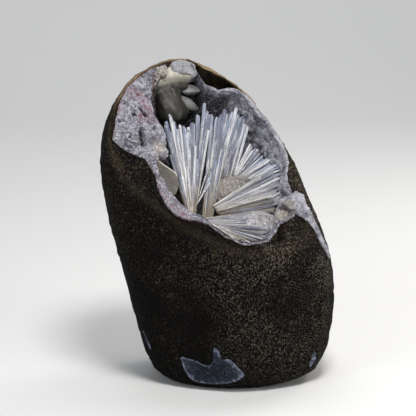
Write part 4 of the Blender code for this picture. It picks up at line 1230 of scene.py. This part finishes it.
# A single cleaved plate leans on the left wall beside the tall spray's foot: smooth, brownish grey,
# with a painted highlight along its raised, broken top edge. Its outline is in millimetres as before.
PLATE = [(-41.5, 8.0, 3.8), (-27.7, -4.4, 6.4), (-27.5, -13.0, 7.8), (-31.8, -19.8, 8.9), (-41.8, -14.2, 6.3),
         (-43.0, -5.8, 5.0)]
PLATE_THICKNESS = 0.0030
PLATE_AROUND = 150
PLATE_RINGS = 22
RIDGE_HEIGHT, RIDGE_WIDTH = 0.0006, 0.10
# Rings under the plate: share of the outline, and share of the thickness
PLATE_UNDER = [(1.0, 0.35), (0.99, 0.75), (0.94, 1.0), (0.5, 1.0), (0.06, 1.0)]


def plate_rings():
    """Shares of the rounded outline from its middle out, then the outline carried down and in again."""
    edge = rounded(seat(np.transpose(PLATE)), PLATE_AROUND, cuts=2, kept=0.93)
    middle = edge.mean(axis=0)
    share = np.linspace(0.04, 1, PLATE_RINGS)[:, None, None]
    top = middle + share * (edge - middle)
    upper = np.clip((edge - middle) @ unit(UPSLOPE + 0.8 * LEVEL) / 0.004 - 0.9, 0, 1)
    ridge = np.exp(-(((1 - share[..., 0]) / RIDGE_WIDTH) ** 2)) * upper
    top = top + (RIDGE_HEIGHT * ridge + 0.00008 * lumps(top, 0.006, 91, octaves=2))[..., None] * UPWARD
    under = [middle + part * (edge - middle) - drop * PLATE_THICKNESS * UPWARD for part, drop in PLATE_UNDER]
    return np.concatenate([top, under]), np.concatenate([ridge, [upper] * len(under)])


rings, ridge = plate_rings()
plate = make_piece("cleaved_plate_face", several([rings]), 35)
paint(plate, ridge=padded(ridge))

look = Finish("cleaved_grey_beige", (0.42, 0.37, 0.31), 0.42)
flaw = look.noise(700, 3.0)
cloud = look.noise(120, 4.0)
look.colour = look.mix(look.steps(cloud, 0.35, 0.65), (0.048, 0.041, 0.032), (0.092, 0.082, 0.068))
look.lay(look.steps(flaw, 0.55, 0.70, 0.0, 0.4), (0.26, 0.24, 0.21))
# Painted highlight along the plate's raised top edge
look.lay(look.steps(look.painted("ridge"), 0.25, 0.65, 0.0, 0.95), (0.60, 0.57, 0.50))
look.join(look.steps(flaw, 0.35, 0.65, 0.36, 0.55), look.bump(flaw, 0.4, 0.0003))
plate.data.materials.append(look.material)
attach(plate, "root")
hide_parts("cleaved_plate")


# The object stands on a pale studio floor that sweeps up behind it. The main light is above and in
# front, softer ones come from the left, the right and behind, and one lights the backdrop. The
# camera looks from the front, a little down, as in the photograph.
FLOOR_HALF_WIDTH = 12.0
FLOOR_TO_BEND = 0.9
BEND_RADIUS = 0.8
BACKDROP_HEIGHT = 3.0
CAMERA_PLACE = (-0.0070, -1.2614, 0.4355)
CAMERA_TILT = np.radians(76.0)
CAMERA_LENS, CAMERA_SENSOR = 160.7, 36.0

bend = np.linspace(0, np.pi / 2, 25)
curve = np.stack([FLOOR_TO_BEND + BEND_RADIUS * np.sin(bend), BEND_RADIUS * (1 - np.cos(bend))], axis=-1)
profile = [(-FLOOR_HALF_WIDTH, 0.0), *curve, (FLOOR_TO_BEND + BEND_RADIUS, BACKDROP_HEIGHT)]
floor_mesh = bpy.data.meshes.new("studio_floor")
sides = [(side * FLOOR_HALF_WIDTH, y, z) for y, z in profile for side in (-1, 1)]
floor_mesh.from_pydata(sides, [], [(2 * k, 2 * k + 1, 2 * k + 3, 2 * k + 2) for k in range(len(profile) - 1)])
floor_mesh.shade_smooth()
floor = bpy.data.objects.new("studio_floor", floor_mesh)
bpy.context.scene.collection.objects.link(floor)
floor_mesh.materials.append(Finish("pale_floor", (0.68, 0.68, 0.68), 0.7).material)

world = bpy.data.worlds.new("studio")
world.use_nodes = True
sky = world.node_tree.nodes["Background"]
sky.inputs["Color"].default_value = (0.88, 0.90, 0.93, 1)
sky.inputs["Strength"].default_value = 0.19
bpy.context.scene.world = world


def softbox(name, place, towards, size, power, colour):
    """Square area light at a place, turned so that it shines towards a point."""
    light = bpy.data.lights.new(name, "AREA")
    light.size = size
    light.energy = power
    light.color = colour
    lamp = bpy.data.objects.new(name, light)
    lamp.location = place
    lamp.rotation_euler = (Vector(towards) - Vector(place)).to_track_quat("-Z", "Y").to_euler()
    bpy.context.scene.collection.objects.link(lamp)


softbox("key", (0.12, -0.44, 1.02), (0.0, -0.02, 0.13), 0.26, 9.0, (1.0, 0.985, 0.96))
softbox("fill", (-0.70, -0.75, 0.65), (0.0, 0.0, 0.12), 0.50, 3.1, (0.90, 0.95, 1.0))
softbox("side", (0.85, -0.55, 0.45), (0.0, 0.0, 0.10), 0.35, 2.8, (1.0, 0.98, 0.95))
softbox("rim", (0.55, 0.45, 0.50), (0.0, 0.0, 0.15), 0.30, 2.4, (1.0, 0.96, 0.90))
softbox("backdrop", (0.0, 0.55, 1.9), (0.0, 1.7, 0.6), 1.2, 16.0, (0.97, 0.98, 1.0))

lens = bpy.data.cameras.new("camera")
lens.lens = CAMERA_LENS
lens.sensor_width = CAMERA_SENSOR
camera = bpy.data.objects.new("camera", lens)
camera.location = CAMERA_PLACE
camera.rotation_euler = (CAMERA_TILT, 0.0, 0.0)
bpy.context.scene.collection.objects.link(camera)
bpy.context.scene.camera = camera
bpy.context.scene.view_settings.view_transform = "Standard"
